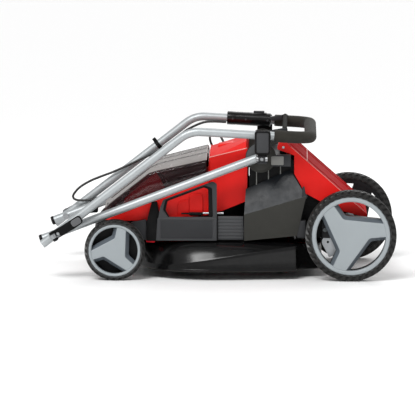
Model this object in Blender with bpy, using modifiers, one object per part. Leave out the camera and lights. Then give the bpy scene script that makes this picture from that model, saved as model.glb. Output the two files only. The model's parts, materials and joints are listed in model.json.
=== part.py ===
"""Push lawn mower, cordless, 43 cm class, stored with its handle folded.

Frame: +X points to the rear of the mower, +Y to its right-hand side, +Z up.
The origin is on the ground under the middle of the folded machine.
Units are metres.  Side -1 is the left-hand side (Y < 0), side +1 the right.
"""
import math

import bmesh
import bpy
from mathutils import Matrix, Vector

# ----------------------------------------------------------------------------
# Driving dimensions
# ----------------------------------------------------------------------------
GAP = 0.0004                      # clearance between pieces that touch

# wheels
REAR_X, REAR_R, REAR_CAP_R = 0.3305, 0.1125, 0.0966
FRONT_X, FRONT_R, FRONT_CAP_R = -0.2525, 0.0750, 0.0647
WHEEL_IN, REAR_OUT, FRONT_OUT = 0.1900, 0.2350, 0.2320
FACETS = 30                       # a flat of every tyre lies on the ground
AXLE_R = 0.0060

# handle
TUBE_R = 0.0105
LOWER_Y, UPPER_Y = 0.1950, 0.2200
PIVOT = (0.1080, 0.3055)          # x, z of the pivot on the deck
FOLD_ANGLE = math.radians(200.8)  # pivot to fold joint, in the XZ plane
LOWER_LEN = 0.5450
FOLD = (PIVOT[0] + LOWER_LEN * math.cos(FOLD_ANGLE),
        PIVOT[1] + LOWER_LEN * math.sin(FOLD_ANGLE))
UPPER_ANGLE = math.radians(37.7)  # slope of the long legs when folded
BEND = (-0.0676, 0.3699)
LEG_SLOPE = -0.0533
BAR_X = 0.2300                    # cross bar of the upper handle
BARREL_OUT = 0.2430               # cam pins of the four clamp levers
CLAMP_OUT = 0.2353                # outer face of the clamp washers
BOLT_R = 0.0042
HOLE_R = 0.0048

# deck and covers
DECK_Z = 0.0215
WALL = 0.0030
HOOD_HW, BLOCK_HW, LID_HW = 0.1500, 0.1350, 0.1400
FLAP_PIN = (0.1630, 0.3250)
FLAP_HW = 0.1580
TUNNEL_HW = 0.1450
LID_PIN = (-0.0270, 0.3165)
CRANK_REACH, CRANK_DROP = 0.0565, 0.0200
BLADE_X = 0.0225

# cable
CABLE_R = 0.0030

SIDES = (("left", -1.0), ("right", 1.0))

# ----------------------------------------------------------------------------
# Scene and materials
# ----------------------------------------------------------------------------
for old in list(bpy.data.objects):
    bpy.data.objects.remove(old, do_unlink=True)

PARTS = bpy.data.collections.new("push_lawn_mower")
CUTTERS = bpy.data.collections.new("cutters")
bpy.context.scene.collection.children.link(PARTS)
bpy.context.scene.collection.children.link(CUTTERS)


def material(name, rgb, rough, metal=0.0, alpha=1.0):
    mat = bpy.data.materials.new(name)
    mat.use_nodes = True
    shader = mat.node_tree.nodes["Principled BSDF"]
    shader.inputs["Base Color"].default_value = (*rgb, 1.0)
    shader.inputs["Roughness"].default_value = rough
    shader.inputs["Metallic"].default_value = metal
    shader.inputs["Alpha"].default_value = alpha
    mat.diffuse_color = (*rgb, alpha)
    return mat


RED = ("red_plastic", (0.62, 0.020, 0.014), 0.32, 0.0)
BLACK = ("black_plastic", (0.018, 0.018, 0.019), 0.35, 0.0)
DARK = ("dark_grey_plastic", (0.060, 0.062, 0.066), 0.55, 0.0)
BROWNGREY = ("warm_grey_plastic", (0.075, 0.072, 0.062), 0.62, 0.0)
SMOKE = ("smoked_cover", (0.16, 0.15, 0.15), 0.15, 0.0)
RUBBER = ("tyre_rubber", (0.020, 0.020, 0.020), 0.80, 0.0)
CAPGREY = ("hub_cap_grey", (0.45, 0.47, 0.49), 0.42, 0.0)
SILVER = ("handle_tube_silver", (0.62, 0.63, 0.65), 0.28, 0.85)
STEEL = ("zinc_steel", (0.55, 0.56, 0.58), 0.35, 0.9)
FOAM = ("grip_foam", (0.045, 0.043, 0.038), 0.90, 0.0)
CABLE = ("cable_sheath", (0.012, 0.012, 0.012), 0.45, 0.0)
BLADE = ("blade_steel", (0.20, 0.20, 0.21), 0.45, 0.8)


def finish(ob, spec):
    """Give the piece a material of its own, named after the piece."""
    _, rgb, rough, metal = spec
    ob.data.materials.clear()
    ob.data.materials.append(material(ob.name, rgb, rough, metal))
    return ob


# ----------------------------------------------------------------------------
# Modelling helpers
# ----------------------------------------------------------------------------
def add_mesh(name, bm, cutter=False, smooth=False):
    bmesh.ops.recalc_face_normals(bm, faces=bm.faces)
    mesh = bpy.data.meshes.new(name)
    bm.to_mesh(mesh)
    bm.free()
    ob = bpy.data.objects.new(name, mesh)
    if cutter:
        CUTTERS.objects.link(ob)
        ob.hide_render = True
        ob.display_type = "WIRE"
    else:
        PARTS.objects.link(ob)
    if smooth:
        mesh.shade_smooth()
        mesh.set_sharp_from_angle(angle=math.radians(35.0))
    return ob


def set_origin(ob, point):
    """Put the object's origin at a point without moving its surface."""
    shift = Vector(point)
    ob.data.transform(ob.matrix_basis)
    ob.data.transform(Matrix.Translation(-shift))
    ob.matrix_basis = Matrix.Translation(shift)
    return ob


def box(name, lo, hi, cutter=False):
    bm = bmesh.new()
    bmesh.ops.create_cube(bm, size=1.0)
    size = [h - l for l, h in zip(lo, hi)]
    mid = [(h + l) / 2 for l, h in zip(lo, hi)]
    bmesh.ops.scale(bm, vec=size, verts=bm.verts)
    bmesh.ops.translate(bm, vec=mid, verts=bm.verts)
    return add_mesh(name, bm, cutter)


def rod(name, radius, start, end, sides=16, cutter=False):
    start, end = Vector(start), Vector(end)
    bm = bmesh.new()
    bmesh.ops.create_cone(bm, cap_ends=True, cap_tris=False, segments=sides,
                          radius1=radius, radius2=radius,
                          depth=(end - start).length)
    turn = (end - start).to_track_quat("Z", "Y").to_matrix().to_4x4()
    bmesh.ops.transform(bm, matrix=Matrix.Translation((start + end) / 2) @ turn,
                        verts=bm.verts)
    return add_mesh(name, bm, cutter, smooth=not cutter)


def turned(name, profile, centre, steps, axis="Y", closed=False, cutter=False):
    """Turn a profile of (radius, height) round an axis through centre.

    An open profile runs from the top on the axis, down the outer side, to
    the bottom on the axis; a closed one goes round a ring's section.
    """
    pts = list(profile)
    if closed:
        area = sum(a[0] * b[1] - b[0] * a[1]
                   for a, b in zip(pts, pts[1:] + pts[:1]))
        if area > 0:
            pts.reverse()
    bm = bmesh.new()
    verts = [bm.verts.new((r, 0.0, h)) for r, h in pts]
    for a, b in zip(verts, verts[1:]):
        bm.edges.new((a, b))
    if closed:
        bm.edges.new((verts[-1], verts[0]))
    mesh = bpy.data.meshes.new(name)
    bm.to_mesh(mesh)
    bm.free()
    ob = bpy.data.objects.new(name, mesh)
    (CUTTERS if cutter else PARTS).objects.link(ob)
    if cutter:
        ob.hide_render = True
        ob.display_type = "WIRE"
    screw = ob.modifiers.new("turn", "SCREW")
    screw.angle = math.tau
    screw.steps = steps
    screw.render_steps = steps
    screw.use_merge_vertices = True
    screw.merge_threshold = 0.00001
    screw.use_smooth_shade = True
    if axis == "Y":
        ob.rotation_euler = (-math.pi / 2, 0.0, 0.0)
    ob.location = centre
    return ob


def plate(name, loops, y0, y1, cutter=False):
    """Flat outline(s) in the XZ plane, thickened from y0 to y1."""
    curve = bpy.data.curves.new(name + "_outline", "CURVE")
    curve.dimensions = "2D"
    curve.fill_mode = "BOTH"
    curve.extrude = abs(y1 - y0) / 2
    for loop in loops:
        spline = curve.splines.new("POLY")
        spline.points.add(len(loop) - 1)
        for point, (x, z) in zip(spline.points, loop):
            point.co = (x, z, 0.0, 1.0)
        spline.use_cyclic_u = True
    ob = bpy.data.objects.new(name, curve)
    CUTTERS.objects.link(ob)
    turn = Matrix.Rotation(math.pi / 2, 4, "X")
    ob.matrix_world = Matrix.Translation((0.0, (y0 + y1) / 2, 0.0)) @ turn
    return to_mesh(ob, name, cutter)


def pipe(name, points, radius, resolution=2, cutter=False):
    """Round bar along a chain of points."""
    curve = bpy.data.curves.new(name + "_path", "CURVE")
    curve.dimensions = "3D"
    curve.bevel_depth = radius
    curve.bevel_resolution = resolution
    curve.use_fill_caps = True
    spline = curve.splines.new("POLY")
    spline.points.add(len(points) - 1)
    for point, co in zip(spline.points, points):
        point.co = (*co, 1.0)
    ob = bpy.data.objects.new(name, curve)
    CUTTERS.objects.link(ob)
    return to_mesh(ob, name, cutter, smooth=True)


def to_mesh(curve_ob, name, cutter=False, smooth=False):
    """Replace a curve object by its mesh, with its caps welded."""
    graph = bpy.context.evaluated_depsgraph_get()
    graph.update()
    mesh = bpy.data.meshes.new_from_object(curve_ob.evaluated_get(graph))
    mesh.transform(curve_ob.matrix_world)
    curve = curve_ob.data
    bpy.data.objects.remove(curve_ob, do_unlink=True)
    bpy.data.curves.remove(curve)
    bm = bmesh.new()
    bm.from_mesh(mesh)
    bpy.data.meshes.remove(mesh)
    bmesh.ops.remove_doubles(bm, verts=bm.verts, dist=0.000002)
    return add_mesh(name, bm, cutter, smooth)


def loft(name, sections, cutter=False):
    """Join closed sections with equal point counts and cap both ends."""
    bm = bmesh.new()
    rings = [[bm.verts.new(p) for p in ring] for ring in sections]
    for a, b in zip(rings, rings[1:]):
        for i in range(len(a)):
            j = (i + 1) % len(a)
            bm.faces.new((a[i], a[j], b[j], b[i]))
    bm.faces.new(list(reversed(rings[0])))
    bm.faces.new(rings[-1])
    bmesh.ops.triangulate(bm, faces=[f for f in bm.faces if len(f.verts) > 4])
    return add_mesh(name, bm, cutter)


def boolean(ob, tool, operation="DIFFERENCE"):
    mod = ob.modifiers.new(operation.lower(), "BOOLEAN")
    mod.operation = operation
    mod.solver = "EXACT"
    mod.object = tool
    return ob


def cut(ob, *tools):
    for tool in tools:
        boolean(ob, tool, "DIFFERENCE")
    return ob


def join(ob, *tools):
    for tool in tools:
        boolean(ob, tool, "UNION")
    return ob


def arc(cx, cz, radius, start, end, steps):
    """Points on an arc, angles in degrees from +X towards +Z."""
    return [(cx + radius * math.cos(math.radians(start + (end - start) * i / steps)),
             cz + radius * math.sin(math.radians(start + (end - start) * i / steps)))
            for i in range(steps + 1)]


def rounded_path(points, radii, steps):
    """A chain of points with each inner corner turned on an arc."""
    pts = [Vector(p) for p in points]
    out = [pts[0]]
    for before, corner, after, radius, count in zip(pts, pts[1:], pts[2:],
                                                    radii, steps):
        u = (before - corner).normalized()
        v = (after - corner).normalized()
        half = u.angle(v) / 2
        run = radius / math.tan(half)
        centre = corner + (u + v).normalized() * (radius / math.sin(half))
        a = corner + u * run - centre
        b = corner + v * run - centre
        sweep = a.angle(b)
        for i in range(count + 1):
            t = i / count
            out.append(centre + (a * math.sin((1 - t) * sweep)
                                 + b * math.sin(t * sweep)) / math.sin(sweep))
    out.append(pts[-1])
    return out


def smooth_route(points, spacing):
    """Catmull-Rom curve through the points, read at even spacing."""
    pts = [Vector(p) for p in points]
    ext = [2 * pts[0] - pts[1]] + pts + [2 * pts[-1] - pts[-2]]
    fine = []
    for p0, p1, p2, p3 in zip(ext, ext[1:], ext[2:], ext[3:]):
        for i in range(12):
            t = i / 12
            fine.append(0.5 * (2 * p1 + (p2 - p0) * t
                               + (2 * p0 - 5 * p1 + 4 * p2 - p3) * t * t
                               + (3 * p1 - p0 - 3 * p2 + p3) * t ** 3))
    fine.append(pts[-1])
    length = [0.0]
    for a, b in zip(fine, fine[1:]):
        length.append(length[-1] + (b - a).length)
    count = max(2, round(length[-1] / spacing))
    out, k = [], 0
    for i in range(count + 1):
        want = length[-1] * i / count
        while k < len(fine) - 2 and length[k + 1] < want:
            k += 1
        span = length[k + 1] - length[k]
        t = 0.0 if span == 0.0 else (want - length[k]) / span
        out.append(fine[k].lerp(fine[k + 1], min(1.0, max(0.0, t))))
    return out


# ----------------------------------------------------------------------------
# Undercarriage: two axle bars with collars
# ----------------------------------------------------------------------------
def make_axle(name, x, z, end):
    half = 0.2225
    profile = [(0.0, end), (0.0100, end), (0.0100, half),
               (AXLE_R, half), (AXLE_R, 0.1890), (0.0100, 0.1890),
               (0.0100, 0.1865), (AXLE_R, 0.1865)]
    mirror = [(r, -h) for r, h in reversed(profile)]
    return finish(turned(name, profile + mirror, (x, 0.0, z), 12), STEEL)


make_axle("front_axle", FRONT_X, FRONT_R, 0.2278)
make_axle("rear_axle", REAR_X, REAR_R, 0.2290)


# ----------------------------------------------------------------------------
# Wheels: tyre, rim and hub cap, all turned about their axle
# ----------------------------------------------------------------------------
def cap_opening(cap_r, corner, sense, inset):
    """One opening between two spokes: a short edge, a rounded corner and a
    long edge, closed by the inside of the ring.  inset moves both edges
    inwards, as the drafted walls do behind the face."""
    ring = 0.892 * cap_r
    polar = ((ring, corner - 5.0 * sense), (0.47 * cap_r, corner),
             (ring, corner + 93.0 * sense))
    pts = [Vector((r * math.cos(math.radians(a)), r * math.sin(math.radians(a))))
           for r, a in polar]
    middle = (pts[0] + pts[2]) / 2
    lines = []
    for p, q in ((pts[0], pts[1]), (pts[2], pts[1])):
        along = (q - p).normalized()
        normal = Vector((-along.y, along.x))
        if normal.dot(middle - p) < 0:
            normal = -normal
        lines.append((p + normal * inset, along, normal))
    (p, u, n1), (q, v, n2) = lines
    fillet = 0.13 * cap_r
    c1, c2 = p + n1 * fillet, q + n2 * fillet
    det = u.x * -v.y + v.x * u.y
    t = ((c2.x - c1.x) * -v.y + v.x * (c2.y - c1.y)) / det
    centre = c1 + u * t
    ends = []
    for point, along, _ in lines:
        half = point.dot(along)
        ends.append(point + along * (-half - math.sqrt(
            half * half - point.dot(point) + ring * ring)))
    start = math.atan2(-n1.y, -n1.x)
    sweep = (math.atan2(-n2.y, -n2.x) - start + math.pi) % math.tau - math.pi
    loop = [ends[0]]
    loop += [centre + fillet * Vector((math.cos(start + sweep * i / 3),
                                       math.sin(start + sweep * i / 3)))
             for i in range(4)]
    loop.append(ends[1])
    a0 = math.atan2(ends[1].y, ends[1].x)
    back = (math.atan2(ends[0].y, ends[0].x) - a0 + math.pi) % math.tau - math.pi
    loop += [ring * Vector((math.cos(a0 + back * i / 7),
                            math.sin(a0 + back * i / 7))) for i in range(1, 7)]
    return [tuple(v) for v in loop]


def make_wheel(name, x, radius, cap_r, out, side, corner, sense,
               windows=3):
    """Wheel with a web; the front wheels keep theirs closed."""
    facet = math.cos(math.pi / FACETS)
    inner = cap_r + 0.0004
    width_in, width_out = WHEEL_IN, out - 0.0015
    profile = [(radius / facet, side * (width_in + 0.008)),
               (radius / facet, side * (width_out - 0.008)),
               ((radius - 0.006) / facet, side * width_out),
               (inner / facet, side * width_out),
               (inner / facet, side * width_in),
               ((radius - 0.006) / facet, side * width_in)]
    tyre = turned(name + "_tyre", profile, (x, 0.0, radius), FACETS,
                  closed=True)
    finish(tyre, RUBBER)
    face = out - 0.0036
    rim = [(0.0080, width_in + 0.0005), (cap_r - 0.0004, width_in + 0.0005),
           (cap_r - 0.0004, face), (cap_r - 0.0060, face),
           (cap_r - 0.0060, width_in + 0.0080), (0.0240, width_in + 0.0080),
           (0.0240, 0.2220), (0.0080, 0.2220)]
    rim = turned(name + "_rim", [(r, side * h) for r, h in rim],
                 (x, 0.0, radius), FACETS, closed=True)
    for k in range(windows):
        deep = cap_opening(cap_r, corner + 120.0 * k, sense, 0.0085)
        deep = [(x + px * 0.99, radius + pz * 0.99) for px, pz in deep]
        lo, hi = sorted((side * 0.1800, side * 0.2500))
        cut(rim, plate("%s_window_%d" % (name, k), [deep], lo, hi, cutter=True))
    finish(rim, BLACK)
    rings = [arc(0.0, 0.0, cap_r, 0.0, 360.0 - 360.0 / 36, 35)]
    rings += [cap_opening(cap_r, corner + 120.0 * k, sense, 0.0)
              for k in range(3)]
    loops = [[(x + px, radius + pz) for px, pz in ring] for ring in rings]
    lo, hi = sorted((side * (face + 0.0003), side * out))
    cap = plate(name + "_hub_cap", loops, lo, hi)
    set_origin(cap, (x, 0.0, radius))
    finish(cap, CAPGREY)


for label, side in SIDES:
    make_wheel("rear_" + label, REAR_X, REAR_R, REAR_CAP_R, REAR_OUT, side,
               114.5 if side < 0 else 80.0, side)
    make_wheel("front_" + label, FRONT_X, FRONT_R, FRONT_CAP_R, FRONT_OUT,
               side, 88.0 if side < 0 else 92.0, -side, windows=0)

# ----------------------------------------------------------------------------
# Height cranks on the rear axle and the brackets that guide them
# ----------------------------------------------------------------------------
CRANK_PIN = (REAR_X - CRANK_REACH, REAR_R - CRANK_DROP)
for label, side in SIDES:
    outline = (arc(REAR_X, REAR_R, 0.0140, -100.0, 70.0, 6)
               + arc(*CRANK_PIN, 0.0150, 110.0, 215.0, 4)
               + [(CRANK_PIN[0] + 0.003, CRANK_PIN[1] - 0.038),
                  (CRANK_PIN[0] + 0.015, CRANK_PIN[1] - 0.034)])
    holes = [arc(REAR_X, REAR_R, 0.0070, 0.0, 330.0, 11),
             arc(*CRANK_PIN, 0.0075, 0.0, 330.0, 11)]
    lo, hi = sorted((side * 0.1790, side * 0.1830))
    crank = plate("crank_" + label, [outline] + holes, lo, hi)
    set_origin(crank, (REAR_X, side * 0.181, REAR_R))
    finish(crank, STEEL)
    shape = [(0.2560, 0.1150), (0.2560, 0.1760), (0.2780, 0.1760),
             (0.2900, 0.0990), (0.2850, 0.0820), (0.2650, 0.0820)]
    lo, hi = sorted((side * 0.1455, side * 0.1780))
    bracket = plate("axle_bracket_" + label, [shape], lo, hi)
    stud = rod("stud_" + label, 0.0034,
               (CRANK_PIN[0], side * 0.1700, CRANK_PIN[1]),
               (CRANK_PIN[0], side * 0.1845, CRANK_PIN[1]), 12, cutter=True)
    join(bracket, stud)
    finish(bracket, BLACK)


# ----------------------------------------------------------------------------
# Cutting deck: an open-bottomed pan with a discharge window
# ----------------------------------------------------------------------------
def front_curve(a, b, power, count):
    """Quarter of a rounded front, from the nose to the widest point."""
    out = []
    for i in range(count + 1):
        t = math.pi / 2 * i / count
        c = max(0.0, math.cos(t))
        out.append((-a * c ** (2 / power), -b * math.sin(t) ** (2 / power)))
    return out


RIM = front_curve(0.2170, 0.2306, 2.3, 12) + [
    (0.0700, -0.2225), (0.1960, -0.2035), (0.2000, -0.1660),
    (0.2126, -0.1586), (0.2474, -0.1483), (0.2600, -0.1300), (0.2600, 0.0)]
CROWN = front_curve(0.1350, 0.1380, 2.0, 12) + [
    (0.0600, -0.1360), (0.1100, -0.1330), (0.1300, -0.1300),
    (0.1500, -0.1230), (0.1700, -0.1130), (0.1800, -0.0950), (0.1800, 0.0)]


def ridge_z(x):
    """Height of the crease along the pan's side wall."""
    return min(0.0840, max(0.0360, 0.0430 + 0.154 * (x + 0.0800)))


def deck_ring(blend, z, ridge=False):
    """Plan ring between the rim (blend 0) and the crown (blend 1)."""
    half = [(a[0] + (b[0] - a[0]) * blend, a[1] + (b[1] - a[1]) * blend)
            for a, b in zip(RIM, CROWN)]
    ring = half + [(x, -y) for x, y in reversed(half[1:-1])]
    return [(x, y, z + ridge_z(x) if ridge else z) for x, y in ring]


deck = loft("deck_shell", [
    deck_ring(0.00, DECK_Z), deck_ring(0.03, 0.0, True),
    deck_ring(0.42, 0.0900), deck_ring(0.90, 0.0920),
    deck_ring(1.00, 0.1095)])
cut(deck,
    loft("deck_hollow", [
        deck_ring(0.04, DECK_Z - 0.01), deck_ring(0.07, -0.0020, True),
        deck_ring(0.45, 0.0870), deck_ring(0.94, 0.0890),
        deck_ring(1.03, 0.1065)], cutter=True),
    rod("deck_shaft_hole", 0.0120, (BLADE_X, 0, 0.09), (BLADE_X, 0, 0.13), 16,
        cutter=True),
    box("deck_discharge", (0.1000, -0.0800, 0.0850), (0.2000, 0.0800, 0.1300),
        cutter=True))
finish(deck, BLACK)

# front fascia between the front wheels
def fascia_section(x, hw, zb, zt):
    return [(x, -hw, zb), (x, -hw, zt), (x, hw, zt), (x, hw, zb)]


fascia = loft("front_fascia", [fascia_section(-0.2830, 0.120, 0.0960, 0.1360),
                               fascia_section(-0.2620, 0.145, 0.0900, 0.1390),
                               fascia_section(-0.2180, 0.150, 0.0900, 0.1390)])
cut(fascia, loft("fascia_hollow",
                 [fascia_section(-0.2800, 0.117, 0.0500, 0.1330),
                  fascia_section(-0.2610, 0.142, 0.0500, 0.1360),
                  fascia_section(-0.2100, 0.147, 0.0500, 0.1360)],
                 cutter=True))
finish(fascia, BLACK)


# ----------------------------------------------------------------------------
# Hood with its raised rear block, and the cover over the batteries
# ----------------------------------------------------------------------------
def parting(x):
    """Height of the joint between the hood and the battery cover."""
    return 0.1564 + 0.384 * (x + 0.2683)


def block_top(x):
    """Side, shoulder and ridge heights of the raised block."""
    t = (x + 0.0218) / 0.0944
    return (0.2970 + 0.0215 * t, 0.3088 + 0.0291 * t, 0.3105 + 0.0295 * t)


def hood_section(x, hw, zb, drop, raised):
    if raised:
        side_z, shoulder, ridge = (z - drop for z in block_top(x))
    else:
        ridge = parting(x) - 0.0008 - drop
        side_z, shoulder = ridge - 0.0006, ridge - 0.0003
    return [(x, -hw, zb), (x, -hw, side_z), (x, -0.667 * hw, shoulder),
            (x, 0.0, ridge), (x, 0.667 * hw, shoulder), (x, hw, side_z),
            (x, hw, zb)]


hood = loft("hood", [
    hood_section(-0.2850, 0.1220, 0.1400, 0.0, False),
    hood_section(-0.2650, 0.1450, 0.1400, 0.0, False),
    hood_section(-0.2300, HOOD_HW, 0.1400, 0.0, False),
    hood_section(-0.1530, HOOD_HW, 0.1400, 0.0, False),
    hood_section(-0.0235, HOOD_HW, 0.1550, 0.0, False),
    hood_section(-0.0215, BLOCK_HW, 0.1600, 0.0, True),
    hood_section(0.0100, BLOCK_HW, 0.1633, 0.0, True),
    hood_section(0.0735, BLOCK_HW, 0.1890, 0.0, True)])
cut(hood, loft("hood_hollow", [
    hood_section(-0.2820, 0.1190, 0.1000, WALL, False),
    hood_section(-0.2640, 0.1420, 0.1000, WALL, False),
    hood_section(-0.2300, HOOD_HW - WALL, 0.1000, WALL, False),
    hood_section(-0.0275, HOOD_HW - WALL, 0.1000, WALL, False),
    hood_section(-0.0250, BLOCK_HW - WALL, 0.1000, WALL, False),
    hood_section(-0.0205, BLOCK_HW - WALL, 0.1000, WALL, False),
    hood_section(-0.0185, BLOCK_HW - WALL, 0.1000, WALL, True),
    hood_section(0.0705, BLOCK_HW - WALL, 0.1000, WALL, True)], cutter=True))
finish(hood, RED)


def lid_section(x, hw, edge, crown, drop, low):
    edge, crown = edge - drop, crown - drop
    knee = edge + 0.78 * (crown - edge)
    zb = parting(x) - 0.05 if low else parting(x)
    return [(x, -hw, zb), (x, -hw, edge), (x, -0.55 * hw, knee),
            (x, 0.0, crown), (x, 0.55 * hw, knee), (x, hw, edge),
            (x, hw, zb)]


LID = ((-0.2845, 0.1180, 0.1665, 0.1795), (-0.2680, 0.1370, 0.1830, 0.1925),
       (-0.1715, 0.1400, 0.2585, 0.2690), (-0.1500, 0.1400, 0.2650, 0.2828),
       (-0.0275, 0.1400, 0.2920, 0.3138))
lid = loft("lid", [lid_section(x, hw, e, c, 0.0, False)
                   for x, hw, e, c in LID])
LID_IN = ((-0.2820, 0.1150), (-0.2670, 0.1345), (-0.1710, 0.1375),
          (-0.1500, 0.1375), (-0.0250, 0.1375))
cut(lid, loft("lid_hollow",
              [lid_section(x, hw, e, c, 0.0025, True)
               for (x, hw), (_, _, e, c) in zip(LID_IN, LID)], cutter=True))
set_origin(lid, (LID_PIN[0], 0.0, LID_PIN[1]))
finish(lid, SMOKE)

# two battery packs lying on the sloping tray
slope = math.atan(0.384)
for label, side in SIDES:
    bm = bmesh.new()
    bmesh.ops.create_cube(bm, size=1.0)
    bmesh.ops.scale(bm, vec=(0.1050, 0.0820, 0.0390), verts=bm.verts)
    mid = Vector((-0.0900, side * 0.0525, parting(-0.0900)))
    up = Vector((-math.sin(slope), 0.0, math.cos(slope)))
    turn = Matrix.Rotation(-slope, 4, "Y")
    bmesh.ops.transform(bm, matrix=Matrix.Translation(mid + up * 0.0205) @ turn,
                        verts=bm.verts)
    pack = add_mesh("battery_" + label, bm)
    bevel = pack.modifiers.new("edges", "BEVEL")
    bevel.width = 0.004
    bevel.segments = 1
    finish(pack, BLACK)

# ----------------------------------------------------------------------------
# Side panels, height scale and the height lever with its link rod
# ----------------------------------------------------------------------------
for label, side in SIDES:
    lo, hi = sorted((side * 0.1560, side * 0.1720))
    panel = [(-0.2140, 0.0945), (-0.2140, 0.1380), (-0.1760, 0.1390),
             (-0.1600, 0.1850), (-0.1470, 0.1850), (-0.1420, 0.1500),
             (0.0560, 0.1500), (0.0560, 0.0945)]
    finish(plate("side_panel_" + label, [panel], lo, hi), BLACK)

finish(box("height_scale", (0.0005, -0.1762, 0.0960), (0.0645, -0.1724, 0.1555)),
       DARK)

frame = [(-0.1519, 0.0945), (-0.1493, 0.1335), (-0.1418, 0.1759),
         (-0.1344, 0.1959), (-0.0106, 0.2423), (-0.0012, 0.2361),
         (-0.0012, 0.0945)]
window = [(-0.1220, 0.1535), (-0.1344, 0.1710), (-0.1282, 0.1960),
          (-0.0304, 0.2325), (-0.0130, 0.2261), (-0.0108, 0.1535)]
lever = plate("height_lever", [frame, window], -0.1840, -0.1768)
set_origin(lever, (-0.0760, -0.1804, 0.1245))
finish(lever, DARK)
finish(rod("height_link_rod", 0.0030, (-0.0900, -0.1640, 0.1600),
           (0.0050, -0.1640, 0.1600), 10), STEEL)

# ----------------------------------------------------------------------------
# Rear side fairings with their sloping shoulders
# ----------------------------------------------------------------------------
for label, side in SIDES:
    def corner(x, y, z, s=side):
        return (x, s * y, z)
    front = [corner(0.0665, 0.1840, 0.0945), corner(0.0665, 0.1840, 0.1600),
             corner(0.0700, 0.1500, 0.2204), corner(0.0665, 0.1500, 0.0945)]
    rear = [corner(0.1975, 0.1840, 0.1075), corner(0.2200, 0.1840, 0.2060),
            corner(0.1800, 0.1500, 0.2690), corner(0.1975, 0.1500, 0.1075)]
    fairing = loft("fairing_" + label, [front, rear])
    front = [corner(0.0700, 0.1805, 0.0985), corner(0.0700, 0.1805, 0.1575),
             corner(0.0735, 0.1400, 0.2150), corner(0.0700, 0.1400, 0.0985)]
    rear = [corner(0.1930, 0.1805, 0.1110), corner(0.2140, 0.1805, 0.2045),
            corner(0.1755, 0.1400, 0.2630), corner(0.1930, 0.1400, 0.1110)]
    cut(fairing, loft("fairing_hollow_" + label, [front, rear], cutter=True))
    finish(fairing, BROWNGREY)

# ----------------------------------------------------------------------------
# Discharge tunnel and the rear flap that closes it
# ----------------------------------------------------------------------------
tunnel_side = [(0.0790, 0.1105), (0.0790, 0.2920), (0.1500, 0.3060),
               (0.1700, 0.3060), (0.3180, 0.1800), (0.3180, 0.1320),
               (0.2640, 0.1000), (0.1950, 0.0945), (0.1900, 0.1105)]
tunnel = plate("discharge_tunnel", [tunnel_side], -TUNNEL_HW, TUNNEL_HW)
hollow_a = [(0.0820, 0.0900), (0.0820, 0.2890), (0.1500, 0.3030),
            (0.1700, 0.3030), (0.1960, 0.3200), (0.3400, 0.2000),
            (0.3400, 0.1800), (0.3150, 0.1345), (0.2620, 0.1030),
            (0.2600, 0.0900)]
cut(tunnel, plate("tunnel_hollow", [hollow_a], -TUNNEL_HW + WALL,
                  TUNNEL_HW - WALL, cutter=True))
for label, side in SIDES:
    ear = (arc(*FLAP_PIN, 0.0080, 0.0, 180.0, 6)
           + [(0.1550, 0.3035), (0.1710, 0.3035)])
    lo, hi = sorted((side * (TUNNEL_HW - 0.0050), side * (TUNNEL_HW - 0.0005)))
    join(tunnel, plate("tunnel_ear_" + label, [ear], lo, hi, cutter=True))
cut(tunnel, rod("tunnel_pin_hole", 0.0036, (FLAP_PIN[0], -0.2, FLAP_PIN[1]),
                (FLAP_PIN[0], 0.2, FLAP_PIN[1]), 12, cutter=True))
finish(tunnel, BLACK)

flap_top = [(0.1745, 0.3320), (0.3709, 0.1592)]
flap_side = (arc(*FLAP_PIN, 0.0150, 200.0, 60.0, 6) + flap_top
             + [(0.3709, 0.1505), (0.3113, 0.1665), (0.2592, 0.1889),
                (0.2169, 0.2112), (0.1900, 0.2600), (0.1900, 0.3050)])
flap = plate("rear_flap", [flap_side], -FLAP_HW, FLAP_HW)
hollow = ([(0.1400, 0.1000), (0.1400, 0.3383)]
          + arc(*FLAP_PIN, 0.0120, 150.0, 60.0, 4)
          + [(0.1725, 0.3298), (0.3680, 0.1577), (0.3680, 0.1000)])
cut(flap, plate("flap_hollow", [hollow], -FLAP_HW + WALL, FLAP_HW - WALL,
                cutter=True),
    rod("flap_pin_hole", 0.0036, (FLAP_PIN[0], -0.2, FLAP_PIN[1]),
        (FLAP_PIN[0], 0.2, FLAP_PIN[1]), 12, cutter=True))
set_origin(flap, (FLAP_PIN[0], 0.0, FLAP_PIN[1]))
finish(flap, RED)
finish(rod("flap_rod", 0.0030, (FLAP_PIN[0], -0.1592, FLAP_PIN[1]),
           (FLAP_PIN[0], 0.1592, FLAP_PIN[1]), 12), STEEL)
spring = [(0.0035, 0.0200), (0.0058, 0.0200), (0.0058, 0.0600), (0.0035, 0.0600)]
finish(turned("flap_spring", spring, (FLAP_PIN[0], 0.0, FLAP_PIN[1]), 12,
              closed=True), STEEL)

# ----------------------------------------------------------------------------
# Drive: motor, shaft, blade holder, blade and bolt
# ----------------------------------------------------------------------------
finish(turned("motor_housing",
              [(0.0, 0.1950), (0.0400, 0.1950), (0.0460, 0.1880),
               (0.0460, 0.1100), (0.0095, 0.1100), (0.0095, 0.1560),
               (0.0, 0.1560)], (BLADE_X, 0.0, 0.0), 24, axis="Z"), DARK)
finish(turned("motor_shaft", [(0.0, 0.1550), (0.0080, 0.1550),
                              (0.0080, 0.0524), (0.0, 0.0524)],
              (BLADE_X, 0.0, 0.0), 16, axis="Z"), STEEL)
finish(turned("blade_holder", [(0.0055, 0.0520), (0.0300, 0.0520),
                               (0.0340, 0.0480), (0.0340, 0.0440),
                               (0.0055, 0.0440)], (BLADE_X, 0.0, 0.0), 20,
              axis="Z", closed=True), BLACK)
blade = box("blade", (BLADE_X - 0.0240, -0.2150, 0.0400),
            (BLADE_X + 0.0240, 0.2150, 0.0436))
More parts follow.
